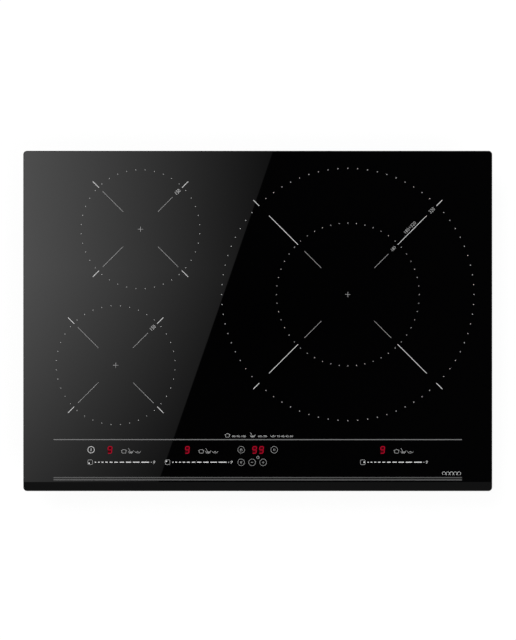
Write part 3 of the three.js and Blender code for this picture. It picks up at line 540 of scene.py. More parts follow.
def strokes(built, lines, width, tone, closed=False, height=inkHeight):
    # Flat lines of one width. Each line is a list of points.
    curve = bpy.data.curves.new("strokes", "CURVE")
    curve.dimensions = "3D"
    curve.twist_mode = "Z_UP"
    curve.bevel_depth = width / 2
    curve.bevel_resolution = 0
    curve.use_fill_caps = True
    for points in lines:
        spline = curve.splines.new("POLY")
        spline.points.add(len(points) - 1)
        for point, (x, y) in zip(spline.points, points):
            point.co = (x, y, 0, 1)
        spline.use_cyclic_u = closed
    mesh = drawn(curve)
    mesh.transform(Matrix.Translation((0, 0, height / 2)) @ Matrix.Diagonal((1, 1, height / width, 1)))
    stamp(built, mesh, tone)


def dots(built, points, diameter, tone):
    for x, y in points:
        place = Matrix.Translation((x, y, inkHeight / 2))
        corners = addCone(built, place, diameter / 2, diameter / 2 * dotTop, inkHeight, 12)
        for face in {face for corner in corners for face in corner.link_faces}:
            face.material_index = tone


def write(built, text, x, y, height, tone, turn=0.0, slant=0.0, stretch=1.0, weight=0.0):
    # Figures centred on a point. height is that of a figure.
    font = bpy.data.curves.new("figures", "FONT")
    font.body = text
    font.align_x = "CENTER"
    font.align_y = "CENTER"
    font.size = height / figureShare
    font.shear = slant
    font.offset = weight
    font.extrude = inkHeight / 2
    font.resolution_u = 3
    mesh = drawn(font)
    mesh.transform(
        Matrix.Translation((x, y, inkHeight / 2))
        @ Matrix.Rotation(math.radians(turn), 4, "Z")
        @ Matrix.Diagonal((stretch, 1, 1, 1))
    )
    stamp(built, mesh, tone)


def polar(radius, degrees, x=0.0, y=0.0):
    return (x + radius * math.cos(math.radians(degrees)), y + radius * math.sin(math.radians(degrees)))


def arc(x, y, radius, start=0.0, end=360.0, steps=24):
    # Points on an arc. A full circle leaves its last point out, to be closed.
    count = steps if end - start == 360 else steps + 1
    return [polar(radius, start + (end - start) * i / steps, x, y) for i in range(count)]


def shifted(lines, x, y, scale=1.0):
    return [[(x + px * scale, y + py * scale) for px, py in line] for line in lines]


def ring(built, x, y, radius, width, tone, steps=24):
    strokes(built, [arc(x, y, radius, steps=steps)], width, tone, closed=True)


def layAt(built, x, y, z):
    # Scales a drawing from millimetres, and puts its origin at a point.
    move(built, Matrix.Translation((x, y, z)) @ Matrix.Scale(mm, 4))


def printPiece(name, built, x=0.0, y=glassFront):
    bmesh.ops.remove_doubles(built, verts=built.verts, dist=0.0005)
    layAt(built, x, y, glassTop)
    addPiece(name, built, inkTones, smoothAngle=60)


zoneInk = {
    "dot": 1.22,
    "smallDot": 1.1,
    "cross": 3.9,  # half of the centre's cross
    "fine": 0.5,  # widths of the three kinds of line
    "bold": 0.85,
    "tick": 1.0,
}
# A ring is its radius, how many dots it has, the degrees to the first and the kind of dot. A label is its
# distance along the line and beside it, its figures, their height and their stretch.
smallZone = {
    "rings": [(88.8, 40, 4.5, "smallDot")],
    "fine": (36.7, 80.0),
    "labelled": (36.7, 67.9),  # the fine line that ends before the figures
    "tick": (87.5, 100.7),
    "labels": [(78.3, 0, "150", 5.7, 0.8)],
    "weight": -0.10,  # makes the figures' strokes thinner
}
largeZone = {
    "rings": [(188.3, 80, 0, "dot"), (106.6, 52, 0, "smallDot")],
    "fine": (55.8, 91.6),
    "labelled": (55.8, 85.2),
    "bold": (105.1, 166.4),
    "tick": (187.0, 199.4),
    "labels": [(96.2, 0, "180", 5.0, 0.8), (177.3, 0, "320", 5.7, 0.8), (136.0, 4.9, "180+320", 4.9, 0.95)],
    "weight": -0.15,
}
diagonals = [45, 135, 225, 315]
labelled = 45


def printZone(zone, layout):
    built = bmesh.new()
    for radius, count, first, kind in layout["rings"]:
        angles = [first + 360 / count * i for i in range(count)]
        dots(built, [polar(radius, a) for a in angles if a not in diagonals], zoneInk[kind], bright)
    half = zoneInk["cross"]
    fine = [[(-half, 0), (half, 0)], [(0, -half), (0, half)]]
    for angle in diagonals:
        fine.append([polar(radius, angle) for radius in layout["labelled" if angle == labelled else "fine"]])
    strokes(built, fine, zoneInk["fine"], soft)
    for kind in ("bold", "tick"):
        if kind in layout:
            spokes = [[polar(radius, a) for radius in layout[kind]] for a in diagonals]
            strokes(built, spokes, zoneInk[kind], bright)
    for radius, beside, figures, height, stretch in layout["labels"]:
        x, y = polar(beside, labelled + 90, *polar(radius, labelled))
        write(built, figures, x, y, height, bright, labelled, stretch=stretch, weight=layout["weight"])
    printPiece("zone_print_" + zone, built, zoneCentres[zone].x, zoneCentres[zone].y)


for zone in zoneNames:
    printZone(zone, largeZone if zone == "right" else smallZone)
print("zone prints: done")


# Heights are from the glass's front edge, and places along the strip are from the glass's middle.
strip = {
    "halfLength": 304.8,
    "lines": [(76.9, 1.3, dim), (20.2, 1.6, faint), (16.95, 2.1, faint)],  # behind and before the controls
}
keyRow = {"rear": 61.8, "front": 43.0, "radius": 5.0, "width": 0.42, "figure": 0.45}
timerKeys = {"lock": -24.7, "pause": 24.6, "play": -24.7, "less": -8.4, "more": 8.1}
power = {"x": -248.7, "radius": 4.8, "width": 0.82, "bar": 2.2}
clock = {"x": 0.2, "fromFront": 50.4, "radius": 2.0, "ring": 0.45, "hands": 0.35}
slider = {
    "square": -29.6,  # all from the display's middle
    "squareSize": 7.0,
    "corner": 1.3,
    "outline": 0.5,
    "dot": 2.15,
    "rise": 0.2,  # ahead of the row of keys
    "start": 7.0,  # from the square's middle, as the rest
    "first": 1.94,
    "growth": 1.22,
    "gap": 2.82,
    "count": 10,
    "width": 1.2,
    "lastDot": 91.3,
    "figure": (94.8, -0.4, 4.7),  # along, across, height
    "slant": 0.25,
}
figureWeight = -0.05
modes = {"pot": 20.7, "pan": 31.0, "warm": 41.3, "fromFront": 59.5, "width": 0.55}
legend = {
    "fromFront": 83.3,
    "figures": 81.7,
    "height": 2.8,
    "width": 0.4,
    "scale": 0.95,
    "entries": [
        ("pot", -45.2, "80-90-100", -27.9, 1.24),
        ("pan", -7.6, "60-70", 7.0, 1.5),
        ("warm", 23.1, "35-40-45-50", 40.6, 1.22),
    ],
}
coilMark = {"x": 289.2, "fromFront": 26.4, "loops": 5, "pitch": 5.6, "radius": 2.5, "width": 0.5}

icons = {
    "pot": [
        [(-3.3, 1.0), (-3.1, -1.9), (-2.3, -2.8), (2.3, -2.8), (3.1, -1.9), (3.3, 1.0)],
        [(-4.4, 1.2), (-3.0, 1.3), (-1.8, 2.2), (0, 2.7), (1.8, 2.2), (3.0, 1.3), (4.4, 1.2)],
    ],
    "pan": [
        [(-3.9, 0.4), (-3.0, -1.8), (-1.8, -2.8), (1.6, -2.8), (2.7, -1.8), (3.3, 0.3), (4.5, 1.0)],
        [(-3.9, 4.3), (-3.0, 3.6), (-1.0, -0.4)],
        [(-1.8, -0.9), (2.4, -0.9)],
        [(-1.8, -1.8), (1.8, -1.8)],
    ],
    "warm": [
        [(-4.4, -0.1), (-3.3, -1.5), (-1.8, -2.4), (1.8, -2.4), (3.3, -1.5), (4.4, -0.1)],
        arc(0, -1.5, 1.3, 20, 160, 6),
    ],
    "lock": [
        [(-1.5, -1.8), (1.5, -1.8), (1.5, 0.3), (-1.5, 0.3), (-1.5, -1.8)],
        arc(0, 0.4, 1.1, 0, 180, 6),
    ],
    "pause": [[(-0.9, -1.6), (-0.9, 1.6)], [(0.9, -1.6), (0.9, 1.6)]],
    "play": [[(-1.0, -1.7), (-1.0, 1.7)], [(1.3, -1.6), (-0.3, 0), (1.3, 1.6)]],
    "less": [[(-1.8, 0), (1.8, 0)]],
    "more": [[(-1.8, 0), (1.8, 0)], [(0, -1.8), (0, 1.8)]],
    "hands": [[(0, 1.2), (0, 0), (0.9, 0)]],
}
# Where each zone's dot stands in its square.
zoneDots = {"left_front": (-1.6, -1.6), "left_rear": (-1.7, 1.5), "right": (2.0, 0)}


def roundedRectangle(x, y, wide, high, corner):
    across, up = wide / 2 - corner, high / 2 - corner
    points = []
    for i, (dx, dy) in enumerate([(across, up), (-across, up), (-across, -up), (across, -up)]):
        points += arc(x + dx, y + dy, corner, 90 * i, 90 * i + 90, 4)
    return points


def sliderDashes(x, y):
    at, length, lines = x + slider["start"], slider["first"], []
    while len(lines) < slider["count"]:
        lines.append([(at, y), (at + length, y)])
        at += length + slider["gap"]
        length *= slider["growth"]
    return lines


def printBorder():
    built = bmesh.new()
    half = strip["halfLength"]
    for y, width, tone in strip["lines"]:
        strokes(built, [[(-half, y), (half, y)]], width, tone)
    printPiece("border_print", built)


def printSlider(zone):
    built = bmesh.new()
    display = centreOf("display_" + zone).x / mm
    x, y = display + slider["square"], keyRow["front"] + slider["rise"]
    square = roundedRectangle(x, y, slider["squareSize"], slider["squareSize"], slider["corner"])
    strokes(built, [square], slider["outline"], soft, closed=True)
    dx, dy = zoneDots[zone]
    dots(built, [(x + dx, y + dy)], slider["dot"], white)
    strokes(built, sliderDashes(x, y), slider["width"], white)
    dots(built, [(x + slider["lastDot"], y)], slider["width"], bright)
    along, across, height = slider["figure"]
    write(built, "9", x + along, y + across, height, bright, slant=slider["slant"], weight=figureWeight)
    for mode in ["pot", "pan", "warm"]:
        strokes(built, shifted(icons[mode], display + modes[mode], modes["fromFront"]), modes["width"], soft)
    printPiece("control_print_" + zone, built)


def printKeys():
    built = bmesh.new()
    for key, x in timerKeys.items():
        y = keyRow["rear"] if key in ("lock", "pause") else keyRow["front"]
        ring(built, x, y, keyRow["radius"], keyRow["width"], soft)
        strokes(built, shifted(icons[key], x, y), keyRow["figure"], soft)
    x, y = power["x"], keyRow["rear"]
    ring(built, x, y, power["radius"], power["width"], bright)
    strokes(built, [[(x, y - power["bar"]), (x, y + power["bar"])]], power["width"], bright)
    x, y = clock["x"], clock["fromFront"]
    ring(built, x, y, clock["radius"], clock["ring"], soft, steps=12)
    strokes(built, shifted(icons["hands"], x, y), clock["hands"], soft)
    printPiece("key_print", built)


def printLegend():
    built = bmesh.new()
    y = legend["fromFront"]
    for icon, x, figures, middle, stretch in legend["entries"]:
        strokes(built, shifted(icons[icon], x, y, legend["scale"]), legend["width"], bright)
        place = (middle, legend["figures"], legend["height"])
        write(built, figures, *place, bright, stretch=stretch, weight=figureWeight)
    loops = []
    for i in range(coilMark["loops"]):
        x = coilMark["x"] + (i - (coilMark["loops"] - 1) / 2) * coilMark["pitch"]
        loops.append(arc(x, coilMark["fromFront"], coilMark["radius"], -60, 240, 16))
    strokes(built, loops, coilMark["width"], bright)
    printPiece("legend_print", built)


# ---- lit figures

digitSegments = {
    "width": 6.9,
    "height": 11.3,
    "bar": 1.38,
    "gap": 0.15,
    "lean": 0.10,
    "pitch": 10.3,  # between the two figures of the timer
    "aside": -0.2,  # from the display's middle
    "ahead": -0.25,  # from the row of keys
    "corner": 0.46,  # cut off a bar's ends, as a share of its width
    "haze": (5.8, 10.2, 0.5),  # the dim patch behind each figure. Its height is a share of the ink's
    "hazeCorner": 1.5,
}
# Seven-segment bars: middle of each as shares of the figure's width and height, and if it is upright.
nineBars = [
    (0, 0.5, False), (0, 0, False), (0, -0.5, False),
    (0.5, 0.25, True), (0.5, -0.25, True), (-0.5, 0.25, True),
]


def drawBar(built, size, middle, corner, place, tone):
    bar = bmesh.new()
    addBox(bar, (*middle, size[2] / 2), size)
    bevelEdges(bar, uprightEdges(bar), corner, 1)
    move(bar, place)
    stamp(built, meshOf(bar), tone)


def drawNine(built, x, y):
    bar = digitSegments["bar"]
    wide, high = digitSegments["width"] - bar, digitSegments["height"] - bar
    lean = Matrix.Identity(4)
    lean[0][1] = digitSegments["lean"]
    place = Matrix.Translation((x, y, 0)) @ lean
    for shareX, shareY, upright in nineBars:
        length = (high / 2 if upright else wide) - 2 * digitSegments["gap"]
        size = (bar, length, inkHeight) if upright else (length, bar, inkHeight)
        drawBar(built, size, (shareX * wide, shareY * high), bar * digitSegments["corner"], place, 0)
    hazeWide, hazeHigh, hazeShare = digitSegments["haze"]
    size = (hazeWide, hazeHigh, inkHeight * hazeShare)
    drawBar(built, size, (0, 0), digitSegments["hazeCorner"], place, 1)


def makeDigits():
    half = digitSegments["pitch"] / 2
    for name in ["left_front", "left_rear", "right", "timer"]:
        built = bmesh.new()
        x = centreOf("display_" + name).x / mm + digitSegments["aside"]
        for place in [x] if name != "timer" else [x - half, x + half]:
            drawNine(built, place, keyRow["rear"] + digitSegments["ahead"])
        layAt(built, 0, glassFront, glassTop)
        addPiece("digits_" + name, built, ["digits", "haze"])


printBorder()
for zone in zoneNames:
    printSlider(zone)
printKeys()
printLegend()
makeDigits()
print("control prints: done")


# ---- casing, seal, lid and clamps

rounded = {"casing": 0.45 * mm, "seal": 0.5 * mm, "lid": 0.4 * mm, "saddle": 0.5 * mm, "clamp": 0.4 * mm}
softened("casing_tray", "casing_shell", "steel", "steel_galvanised", rounded["casing"])
softened("worktop_seal", "foam_seal", "foam", "foam_black", rounded["seal"], segments=3)
softened("terminal_lid", "lid_cover", "plastic", "plastic_black", rounded["lid"], body="lid")
softened("cable_clamp", "cable_saddle", "nylon", "nylon_natural", rounded["saddle"])
clampPlaces = ["front_left", "front_right", "rear_left", "rear_right"]
for place in clampPlaces:
    names = ("worktop_clamp_" + place, "clamp_strap_" + place)
    softened(*names, "spring", "spring_steel", rounded["clamp"], body="clamp_" + place)

lidRibs = {
    "height": 0.4,  # millimetres, all
    "edge": 5.0,
    "hingeEdge": 9.0,  # clear of the casing when the lid is open
    "width": 1.3,
    "corner": 4.0,
    "grips": 5,
    "gripLength": 26.0,
    "gripPitch": 2.8,
    "gripFromEdge": 9.0,
}


def makeLidRibs():
    # A moulded border and a grip by the catch, on the lid's outer face.
    face = min(v.co.z for v in nodes["terminal_lid"].data.vertices)
    corners = [v.co / mm for v in nodes["terminal_lid"].data.vertices if v.co.z < face + 0.01 * mm]
    left, right = min(c.x for c in corners), max(c.x for c in corners)
    front, rear = min(c.y for c in corners), max(c.y for c in corners)
    front += lidRibs["hingeEdge"]
    x, y = (left + right) / 2, (front + rear - lidRibs["edge"]) / 2
    wide, high = right - left - 2 * lidRibs["edge"], rear - lidRibs["edge"] - front
    built = bmesh.new()
    border = [roundedRectangle(x, y, wide, high, lidRibs["corner"])]
    strokes(built, border, lidRibs["width"], 0, closed=True, height=2 * lidRibs["height"])
    reach = lidRibs["gripLength"] / 2
    places = [rear - lidRibs["gripFromEdge"] - i * lidRibs["gripPitch"] for i in range(lidRibs["grips"])]
    grips = [[(x - reach, across), (x + reach, across)] for across in places]
    strokes(built, grips, lidRibs["width"], 0, height=2 * lidRibs["height"])
    layAt(built, 0, 0, face - lidRibs["height"] * mm)
    addPiece("lid_ribs", built, ["plastic"], body="lid")


makeLidRibs()
print("casing and clamps: done")


# ---- screws

panScrew = {
    "head": 4.0 * mm,
    "headHeight": 2.4 * mm,
    "shank": 1.9 * mm,
    "recess": 2.3 * mm,
    "recessWidth": 0.9 * mm,
    "recessDepth": 1.4 * mm,
    "taper": 0.55,
    "steps": 28,
    "crown": 0.35,  # share of the head's height at its rim
    "pitch": 0.7 * mm,
    "root": 0.86,  # the thread's root, as a share of the shank
    "tip": 1.5 * mm,  # without a thread
    "point": (0.4, 0.3 * mm),  # its radius as a share of the shank, and its length
}


def screwProfile(length):
    # Half of the screw's outline, from its point to the middle of its head, in X and Z.
    head, height, shank = panScrew["head"], panScrew["headHeight"], panScrew["shank"]
    rim, pitch, end = panScrew["crown"], panScrew["pitch"], length - panScrew["tip"]
    blunt, point = panScrew["point"]
    outline = [(0, length), (shank * blunt, length - point)]
    for i in range(int(end / pitch)):
        z = end - i * pitch
        outline += [(shank, z), (shank * panScrew["root"], z - pitch / 2)]
    outline += [(shank, 0), (head, 0)]
    for angle in [math.radians(degrees) for degrees in (0, 20, 40, 60, 78)]:
        outline.append((head * math.cos(angle), -height * (rim + (1 - rim) * math.sin(angle))))
    return outline + [(0, -height)]


def spinRound(built, geom, angle, steps, **how):
    bmesh.ops.spin(built, geom=geom, cent=(0, 0, 0), axis=(0, 0, 1), angle=angle, steps=steps, **how)


def turnedPiece(profile, steps, turns=1, outward=0.0):
    # Spins an outline in X and Z round the Z axis, and outward by a distance in each turn.
    built = bmesh.new()
    points = [built.verts.new((x, 0, z)) for x, z in profile]
    edges = [built.edges.new(pair) for pair in zip(points, points[1:])]
    how = {"dvec": (outward / steps, 0, 0)} if outward else {"use_merge": True}
    spinRound(built, points + edges, 2 * math.pi * turns, steps * turns, **how)
    bmesh.ops.remove_doubles(built, verts=built.verts, dist=0.001 * mm)
    bmesh.ops.recalc_face_normals(built, faces=built.faces)
    return built


def ringOutline(x, wide, high, sides):
    # A closed oval in X and Z.
    oval = [(x + px * wide / 2, py * high / 2) for px, py in arc(0, 0, 1, 90, 450, sides)]
    return oval + oval[:1]


def carved(built, cutter):
    # The first solid without the second.
    holders = []
    for part in (built, cutter):
        holders.append(bpy.data.objects.new("part", meshOf(part)))
        scene.collection.objects.link(holders[-1])
    cutting = holders[0].modifiers.new("cut", "BOOLEAN")
    cutting.object = holders[1]
    cutting.solver = "EXACT"
    cutting.use_self = True  # the tool's bars cross
    mesh = evaluated(holders[0])
    rest = bmeshOf(mesh)
    for used in (mesh, holders[0].data, holders[1].data):
        bpy.data.meshes.remove(used)
    return rest


def crossTool():
    # A tapered cross that leaves a screwdriver's recess below the head.
    built = bmesh.new()
    past = 1 * mm  # beyond the head
    long, wide, deep = 2 * panScrew["recess"], panScrew["recessWidth"], panScrew["recessDepth"] + past
    low = -panScrew["headHeight"] - past
    for size in ((long, wide, deep), (wide, long, deep)):
        corners = addBox(built, (0, 0, low + deep / 2), size)
        deepEnd = [v for v in corners if v.co.z > low + deep / 2]
        bmesh.ops.scale(built, vec=(panScrew["taper"], panScrew["taper"], 1), verts=deepEnd)
    return built


screwMeshes = {}


def screwMesh(length):
    # One carved mesh for each length of screw.
    key = round(length / mm, 2)
    if key not in screwMeshes:
        built = carved(turnedPiece(screwProfile(length), panScrew["steps"]), crossTool())
        screwMeshes[key] = meshOf(built)
    return screwMeshes[key]


def makeScrew(name, node, length, place):
    built = bmeshOf(screwMesh(length))
    move(built, place)
    piece = addPiece(name, built, ["screw"], smoothAngle=35)
    if node:
        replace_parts(piece, node)


for kind in ("clamp", "case"):
    for place in clampPlaces:
        # The clamps' heads face down, the casing's outward to the left or the right.
        side = 0 if kind == "clamp" else -1 if place.endswith("left") else 1
        node = kind + "_screw_" + place
        low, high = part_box(node)
        length = (high.x - low.x if side else high.z - low.z) - panScrew["headHeight"]
        turn = Matrix.Rotation(-side * math.pi / 2, 4, "Y")
        head = Matrix.Translation((0, 0, (panScrew["headHeight"] - length) / 2))
        at = Matrix.Translation((low + high) / 2) @ turn @ head
        makeScrew(kind + "_bolt_" + place, node, length, at)
print("screws: done")


# ---- terminals

terminals = {
    "ways": 6,
    "edge": 0.25 * mm,
    "screwRadius": 2.35 * mm,
    "screwDrop": 2.2 * mm,  # screw face above the socket's mouth
    "screwTop": 4.9 * mm,
    "screwEdge": 0.3 * mm,
    "screwSteps": 24,
    "slotWidth": 0.7 * mm,
    "slotDepth": 0.8 * mm,
    "firstSlot": 25,  # degrees, and from one slot to the next
    "slotTurn": 37,
    "entryRadius": 2.0 * mm,  # wires go in at the rear
    "entryDepth": 6.0 * mm,
    "entryRise": 7.6 * mm,
    "entryTaper": 0.8,
    "past": 1.0 * mm,  # of the tool that cuts it, beyond the face
    "wall": 0.9 * mm,  # between the ways
    "wallReach": 0.8 * mm,
    "wallEdge": 0.2 * mm,
    "saddleScrew": 16.0 * mm,  # from the saddle's middle
    "saddleShank": 6.0 * mm,
}


def terminalPlaces():
    low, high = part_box("terminal_block")
    pitch = (high.x - low.x) / terminals["ways"]
    return [low.x + (i + 0.5) * pitch for i in range(terminals["ways"])]


def makeTerminalStrip():
    low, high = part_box("terminal_block")
    radius, depth = terminals["entryRadius"], terminals["entryDepth"] + terminals["past"]
    y, z = high.y + terminals["past"] - depth / 2, low.z + terminals["entryRise"]
    entries = bmesh.new()
    for x in terminalPlaces():
        place = Matrix.Translation((x, y, z)) @ Matrix.Rotation(math.pi / 2, 4, "X")
        addCone(entries, place, radius, radius * terminals["entryTaper"], depth, 20)
    built = carved(copyOf("terminal_block"), entries)
    softened("terminal_block", "terminal_strip", "nylon", "nylon_natural", terminals["edge"], built=built)
    walls = bmesh.new()
    places = terminalPlaces()
    reach = terminals["wallReach"]
    for x in [(a + b) / 2 for a, b in zip(places, places[1:])]:
        size = (terminals["wall"], high.y - low.y + 2 * reach, high.z - low.z + reach)
        addBox(walls, (x, (low.y + high.y) / 2, (low.z + high.z - reach) / 2), size)
    bevelEdges(walls, walls.edges[:], terminals["wallEdge"], 2)
    addPiece("terminal_walls", walls, ["nylon"])


def makeTerminalScrews():
    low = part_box("terminal_block")[0]
    y = centreOf("terminal_block").y
    radius, face, top = terminals["screwRadius"], terminals["screwDrop"], terminals["screwTop"]
    edge = terminals["screwEdge"]
    outline = [(0, top), (radius, top), (radius, face + edge), (radius - edge, face), (0, face)]
    slot = bmesh.new()
    addBox(slot, (0, 0, face), (4 * radius, terminals["slotWidth"], 2 * terminals["slotDepth"]))
    screw = meshOf(carved(turnedPiece(outline, terminals["screwSteps"]), slot))
    built = bmesh.new()
    for i, x in enumerate(terminalPlaces()):
        placed = screw.copy()
        degrees = terminals["firstSlot"] + i * terminals["slotTurn"]
        turn = Matrix.Rotation(math.radians(degrees), 4, "Z")
        placed.transform(Matrix.Translation((x, y, low.z)) @ turn)
        built.from_mesh(placed)
        bpy.data.meshes.remove(placed)
    bpy.data.meshes.remove(screw)
    addPiece("terminal_screws", built, ["screw"], smoothAngle=35)


makeTerminalStrip()
makeTerminalScrews()
middle, face = centreOf("cable_clamp"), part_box("cable_clamp")[0].z
for side, x in (("left", -terminals["saddleScrew"]), ("right", terminals["saddleScrew"])):
    at = Matrix.Translation((middle.x + x, middle.y, face))
    makeScrew("saddle_bolt_" + side, None, terminals["saddleShank"], at)
print("terminals: done")


# ---- circuit boards

boardParts = {
    "gap": 0.25 * mm,  # from a board's face to what is screwed or clipped on it
    "clear": 0.2 * mm,  # a face whose middle is higher than this is a component's
    "tallBox": 15 * mm,  # a film capacitor
    "lowBox": 11 * mm,  # a relay
    "longBox": 2.5,  # a plug, by its length over its width
    "roundFaces": 8,  # a part with more faces than this is round
    "canRadius": 5 * mm,  # a round part narrower than this is a post
    "rounding": 0.45 * mm,
    "finishes": ["board", "plastic", "film", "can", "nylon", "screw", "aluminium"],
}


def groupsOf(faces):
    # Faces that hang together.
    left, groups = set(faces), []
    for face in faces:
        group = [face] if face in left else []
        left -= set(group)
        for member in group:
            near = [f for e in member.edges for f in e.link_faces if f in left]
            left -= set(near)
            group += [f for i, f in enumerate(near) if f not in near[:i]]
        if group:
            groups.append(group)
    return groups


def componentFinish(group):
    points = [v.co for face in group for v in face.verts]
    size = [max(p[i] for p in points) - min(p[i] for p in points) for i in range(3)]
    if len(group) > boardParts["roundFaces"]:
        return "can" if size[0] > 2 * boardParts["canRadius"] else "screw"
    if max(size[:2]) > boardParts["longBox"] * min(size[:2]):
        return "nylon"
    if size[2] > boardParts["tallBox"]:
        return "film"
    return "plastic" if size[2] < boardParts["lowBox"] else "can"


def makeBoard(node, name, face, only=None):
    built = copyOf(node)
    order = boardParts["finishes"]
    above = [f for f in built.faces if f.calc_center_median().z > face + boardParts["clear"]]
    for group in groupsOf(above):
        finish = only or componentFinish(group)
        for part in group:
            top = len(group) > boardParts["roundFaces"] and part.normal.z > 0.9
            part.material_index = order.index("aluminium" if finish == "can" and top else finish)
    above = set(above)
    corners = [
        e for e in built.edges
        if above.issuperset(e.link_faces) and e.calc_face_angle(0) > math.radians(50)
    ]
    bevelEdges(built, corners, boardParts["rounding"], 2)
    piece = addPiece(name, built, order)
    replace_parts(piece, node)


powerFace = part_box("heatsink_left")[0].z - boardParts["gap"]
makeBoard("power_board_left", "inverter_left", powerFace)
makeBoard("power_board_right", "inverter_right", powerFace)
makeBoard("filter_board", "mains_filter", powerFace)
makeBoard("control_board", "touch_board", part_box("display_timer")[0].z - boardParts["gap"], "plastic")
print("circuit boards: done")


# ---- windings

litz = {
    "width": 3.4 * mm,
    "pitch": 3.6 * mm,  # the least, from turn to turn
    "sides": 8,
    "steps": 48,  # round a turn
}


def makeWinding(node, zone):
    # A flat spiral: the wire's section goes round the zone's centre, and a pitch outward in each turn.
    low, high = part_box(node)
    centre = zoneCentres[zone]
    width = litz["width"]
    reach = [(vertex.co - centre).xy.length for vertex in nodes[node].data.vertices]
    room = max(reach) - min(reach) - width
    turns = int(room / litz["pitch"])
    outline = ringOutline(min(reach) + width / 2, width, high.z - low.z, litz["sides"])
    built = turnedPiece(outline, litz["steps"], turns, room / turns)
    bmesh.ops.holes_fill(built, edges=[e for e in built.edges if e.is_boundary])
    bmesh.ops.recalc_face_normals(built, faces=built.faces)
    toLead = centreOf("coil_lead_" + zone) - centre
    turn = Matrix.Rotation(math.atan2(toLead.y, toLead.x), 4, "Z")
    middle = Matrix.Translation((centre.x, centre.y, (low.z + high.z) / 2))
    move(built, middle @ turn)
    name = node.replace("coil_winding", "litz_spiral")
    piece = addPiece(name, built, ["wire_" + zone], smoothAngle=60)
    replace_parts(piece, node)


for zone in zoneNames:
    for part in ("_inner", "_outer") if zone == "right" else ("",):
        makeWinding("coil_winding_" + zone + part, zone)

choke = {
    "wire": 1.5 * mm,
    "turns": 12,  # of each of its two coils
    "span": 140,  # degrees of the ring under each
    "coreSteps": (16, 40),  # round the section, round the ring
    "wireSteps": (6, 16),
}


def makeChoke():
    low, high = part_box("mains_choke")
    thickness = (high.z - low.z) / 2
    reach = (high.x - low.x) / 2 - thickness
    bare = 2 * (thickness - choke["wire"])
    middle = Matrix.Translation((low + high) / 2)
    sides, steps = choke["coreSteps"]
    core = turnedPiece(ringOutline(reach, bare, bare, sides), steps)
    move(core, middle)
    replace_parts(addPiece("choke_core", core, ["core"]), "mains_choke")
    sides, steps = choke["wireSteps"]
    turn = ringOutline((bare + choke["wire"]) / 2, choke["wire"], choke["wire"], sides)
    wire = turnedPiece(turn, steps)
    place = Matrix.Translation((reach, 0, 0)) @ Matrix.Rotation(math.pi / 2, 4, "X")
    first = Matrix.Rotation(-math.radians(choke["span"] / 2), 4, "Z")
    move(wire, first @ place)
    for angle, copies in ((math.radians(choke["span"]), choke["turns"] - 1), (math.pi, 1)):
        spinRound(wire, everything(wire), angle, copies, use_duplicate=True)
    move(wire, middle)
    addPiece("choke_wire", wire, ["wire"], smoothAngle=60)


makeChoke()
print("windings: done")


# ---- studio

studio = {
    "ambient": 0.55,
    "sunSpread": 35,  # degrees, for soft shadows
    "suns": [  # azimuth from +X, elevation, light that a level surface sends back
        ("keySun", 125, 50, 0.28),
        ("fillSun", -40, 42, 0.17),
        ("underSun", -120, -45, 0.30),
    ],
    "floorGlow": 0.90,
    "floorColour": 0.13,
    "floorSize": 30,
}
# A soft light panel overhead, as the glass mirrors it. It is bright at the left and the rear, and has one
# straight edge.
panel = {
    "distance": 5.307,  # camera above the glass
    "edge": -0.0642,
    "lean": 0.346,
    "softness": 0.0012,
    "left": -0.340,
    "pastLeft": -0.03,  # where it stops getting brighter
    "rear": 0.076,
    "tone": 0.2955,
    "across": (0.4992, 0.4224),  # how its tone falls with distance and with the distance's square
    "forward": (0.235, 0.44),
    "mirror": 0.04,  # share of light that the glass sends straight back
    "reach": (0.985, 0.993),  # how upright a view fades it in
}
whiteLight = (1, 1, 1, 1)
sky = {"tone": 0.35, "fall": 0.34, "rim": 0.3, "rimFall": 12, "zenith": 0.25, "ground": 0.6}


def makeWorld():
    world = bpy.data.worlds.new("studio")
    scene.world = world
    world.use_nodes = True
    world.cycles.sampling_method = "NONE"
    graph = Graph(world.node_tree)
    x = graph.node("ShaderNodeSeparateXYZ", {0: graph.node("ShaderNodeTexCoord", output="Generated")})
    up = x.other("Z")
    acrossX = x / up * panel["distance"]
    acrossY = x.other("Y") / up * panel["distance"]
    inside = ((acrossY * panel["lean"] + panel["edge"] - acrossX) / panel["softness"]).share()
    near = ((up - panel["reach"][0]) / (panel["reach"][1] - panel["reach"][0])).share()
    right = (acrossX - panel["left"]).atLeast(panel["pastLeft"])
    front = (panel["rear"] - acrossY).atLeast(0)
    fall = right * panel["across"][0] + right * right * panel["across"][1]
    drop = front * panel["forward"][0] + front * front * panel["forward"][1]
    tone = (panel["tone"] - fall - drop).atLeast(0)
    glow = ((tone + 0.055) / 1.055) ** 2.4 / panel["mirror"]  # from a screen's tone to light
    low = (1 - up).share()
    around = low ** sky["fall"] * sky["tone"] + low ** sky["rimFall"] * sky["rim"]
    above = around * (1 - near * (1 - sky["zenith"]))
    ground = 1 + up * sky["ground"]
    mirrored = above * (up > 0) + ground * (up < 0) + glow * inside * near
    camera = graph.node("ShaderNodeLightPath", output="Is Camera Ray")
    seen = (camera + camera.other("Is Transmission Ray")).atMost(1)
    glossy = camera.other("Is Glossy Ray") * (1 - seen)
    strength = seen + glossy * mirrored + (1 - seen - glossy).atLeast(0) * studio["ambient"]
    shown = graph.node("ShaderNodeBackground", {"Color": whiteLight, "Strength": strength})
    graph.node("ShaderNodeOutputWorld", {"Surface": shown})


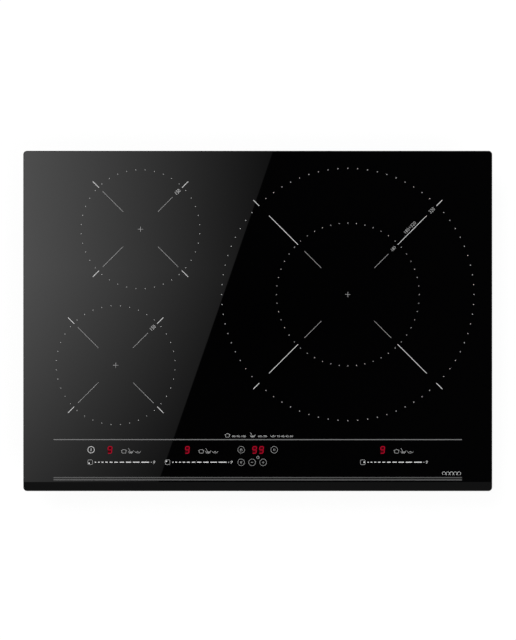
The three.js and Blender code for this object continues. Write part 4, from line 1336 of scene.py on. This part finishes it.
def makeFloor():
    material, graph = newMaterial("paleFloor")
    camera = graph.node("ShaderNodeLightPath", output="Is Camera Ray")
    seen = (camera + camera.other("Is Glossy Ray") + camera.other("Is Transmission Ray")).atMost(1)
    glow = graph.node("ShaderNodeEmission", {"Color": whiteLight, "Strength": seen * studio["floorGlow"]})
    matt = graph.node("ShaderNodeBsdfDiffuse", {"Color": (*[studio["floorColour"]] * 3, 1)})
    top = graph.node("ShaderNodeAddShader", {0: glow, 1: matt})
    below = graph.node("ShaderNodeNewGeometry", output="Backfacing")
    clear = graph.node("ShaderNodeBsdfTransparent")
    shader = graph.node("ShaderNodeMixShader", {0: below, 1: top, 2: clear})
    graph.node("ShaderNodeOutputMaterial", {"Surface": shader})
    built = bmesh.new()
    bmesh.ops.create_grid(built, x_segments=1, y_segments=1, size=studio["floorSize"])
    mesh = meshOf(built, "floor")
    mesh.materials.append(material)
    floor = bpy.data.objects.new("floor", mesh)
    scene.collection.objects.link(floor)
    floor.visible_diffuse = False
    floor.visible_shadow = False


def makeSuns():
    for name, azimuth, elevation, level in studio["suns"]:
        light = bpy.data.lights.new(name, "SUN")
        height = math.radians(elevation)
        light.energy = level * math.pi / abs(math.sin(height))
        light.angle = math.radians(studio["sunSpread"])
        sun = bpy.data.objects.new(name, light)
        turn = Matrix.Rotation(math.radians(azimuth), 3, "Z")
        towards = turn @ Vector((math.cos(height), 0, math.sin(height)))
        sun.rotation_mode = "QUATERNION"
        sun.rotation_quaternion = towards.to_track_quat("Z", "Y")
        sun.visible_glossy = False
        scene.collection.objects.link(sun)


view = {"lens": 200, "sensor": 36, "x": 0.4 * mm, "y": 1.45 * mm}


def makeCamera():
    camera = bpy.data.cameras.new("topView")
    camera.lens = view["lens"]
    camera.sensor_width = view["sensor"]
    camera.clip_end = 100
    holder = bpy.data.objects.new("topView", camera)
    holder.location = (view["x"], view["y"], glassTop + panel["distance"])
    scene.collection.objects.link(holder)
    scene.camera = holder


makeWorld()
makeFloor()
makeSuns()
makeCamera()
scene.view_settings.view_transform = "Standard"
print("studio: done")
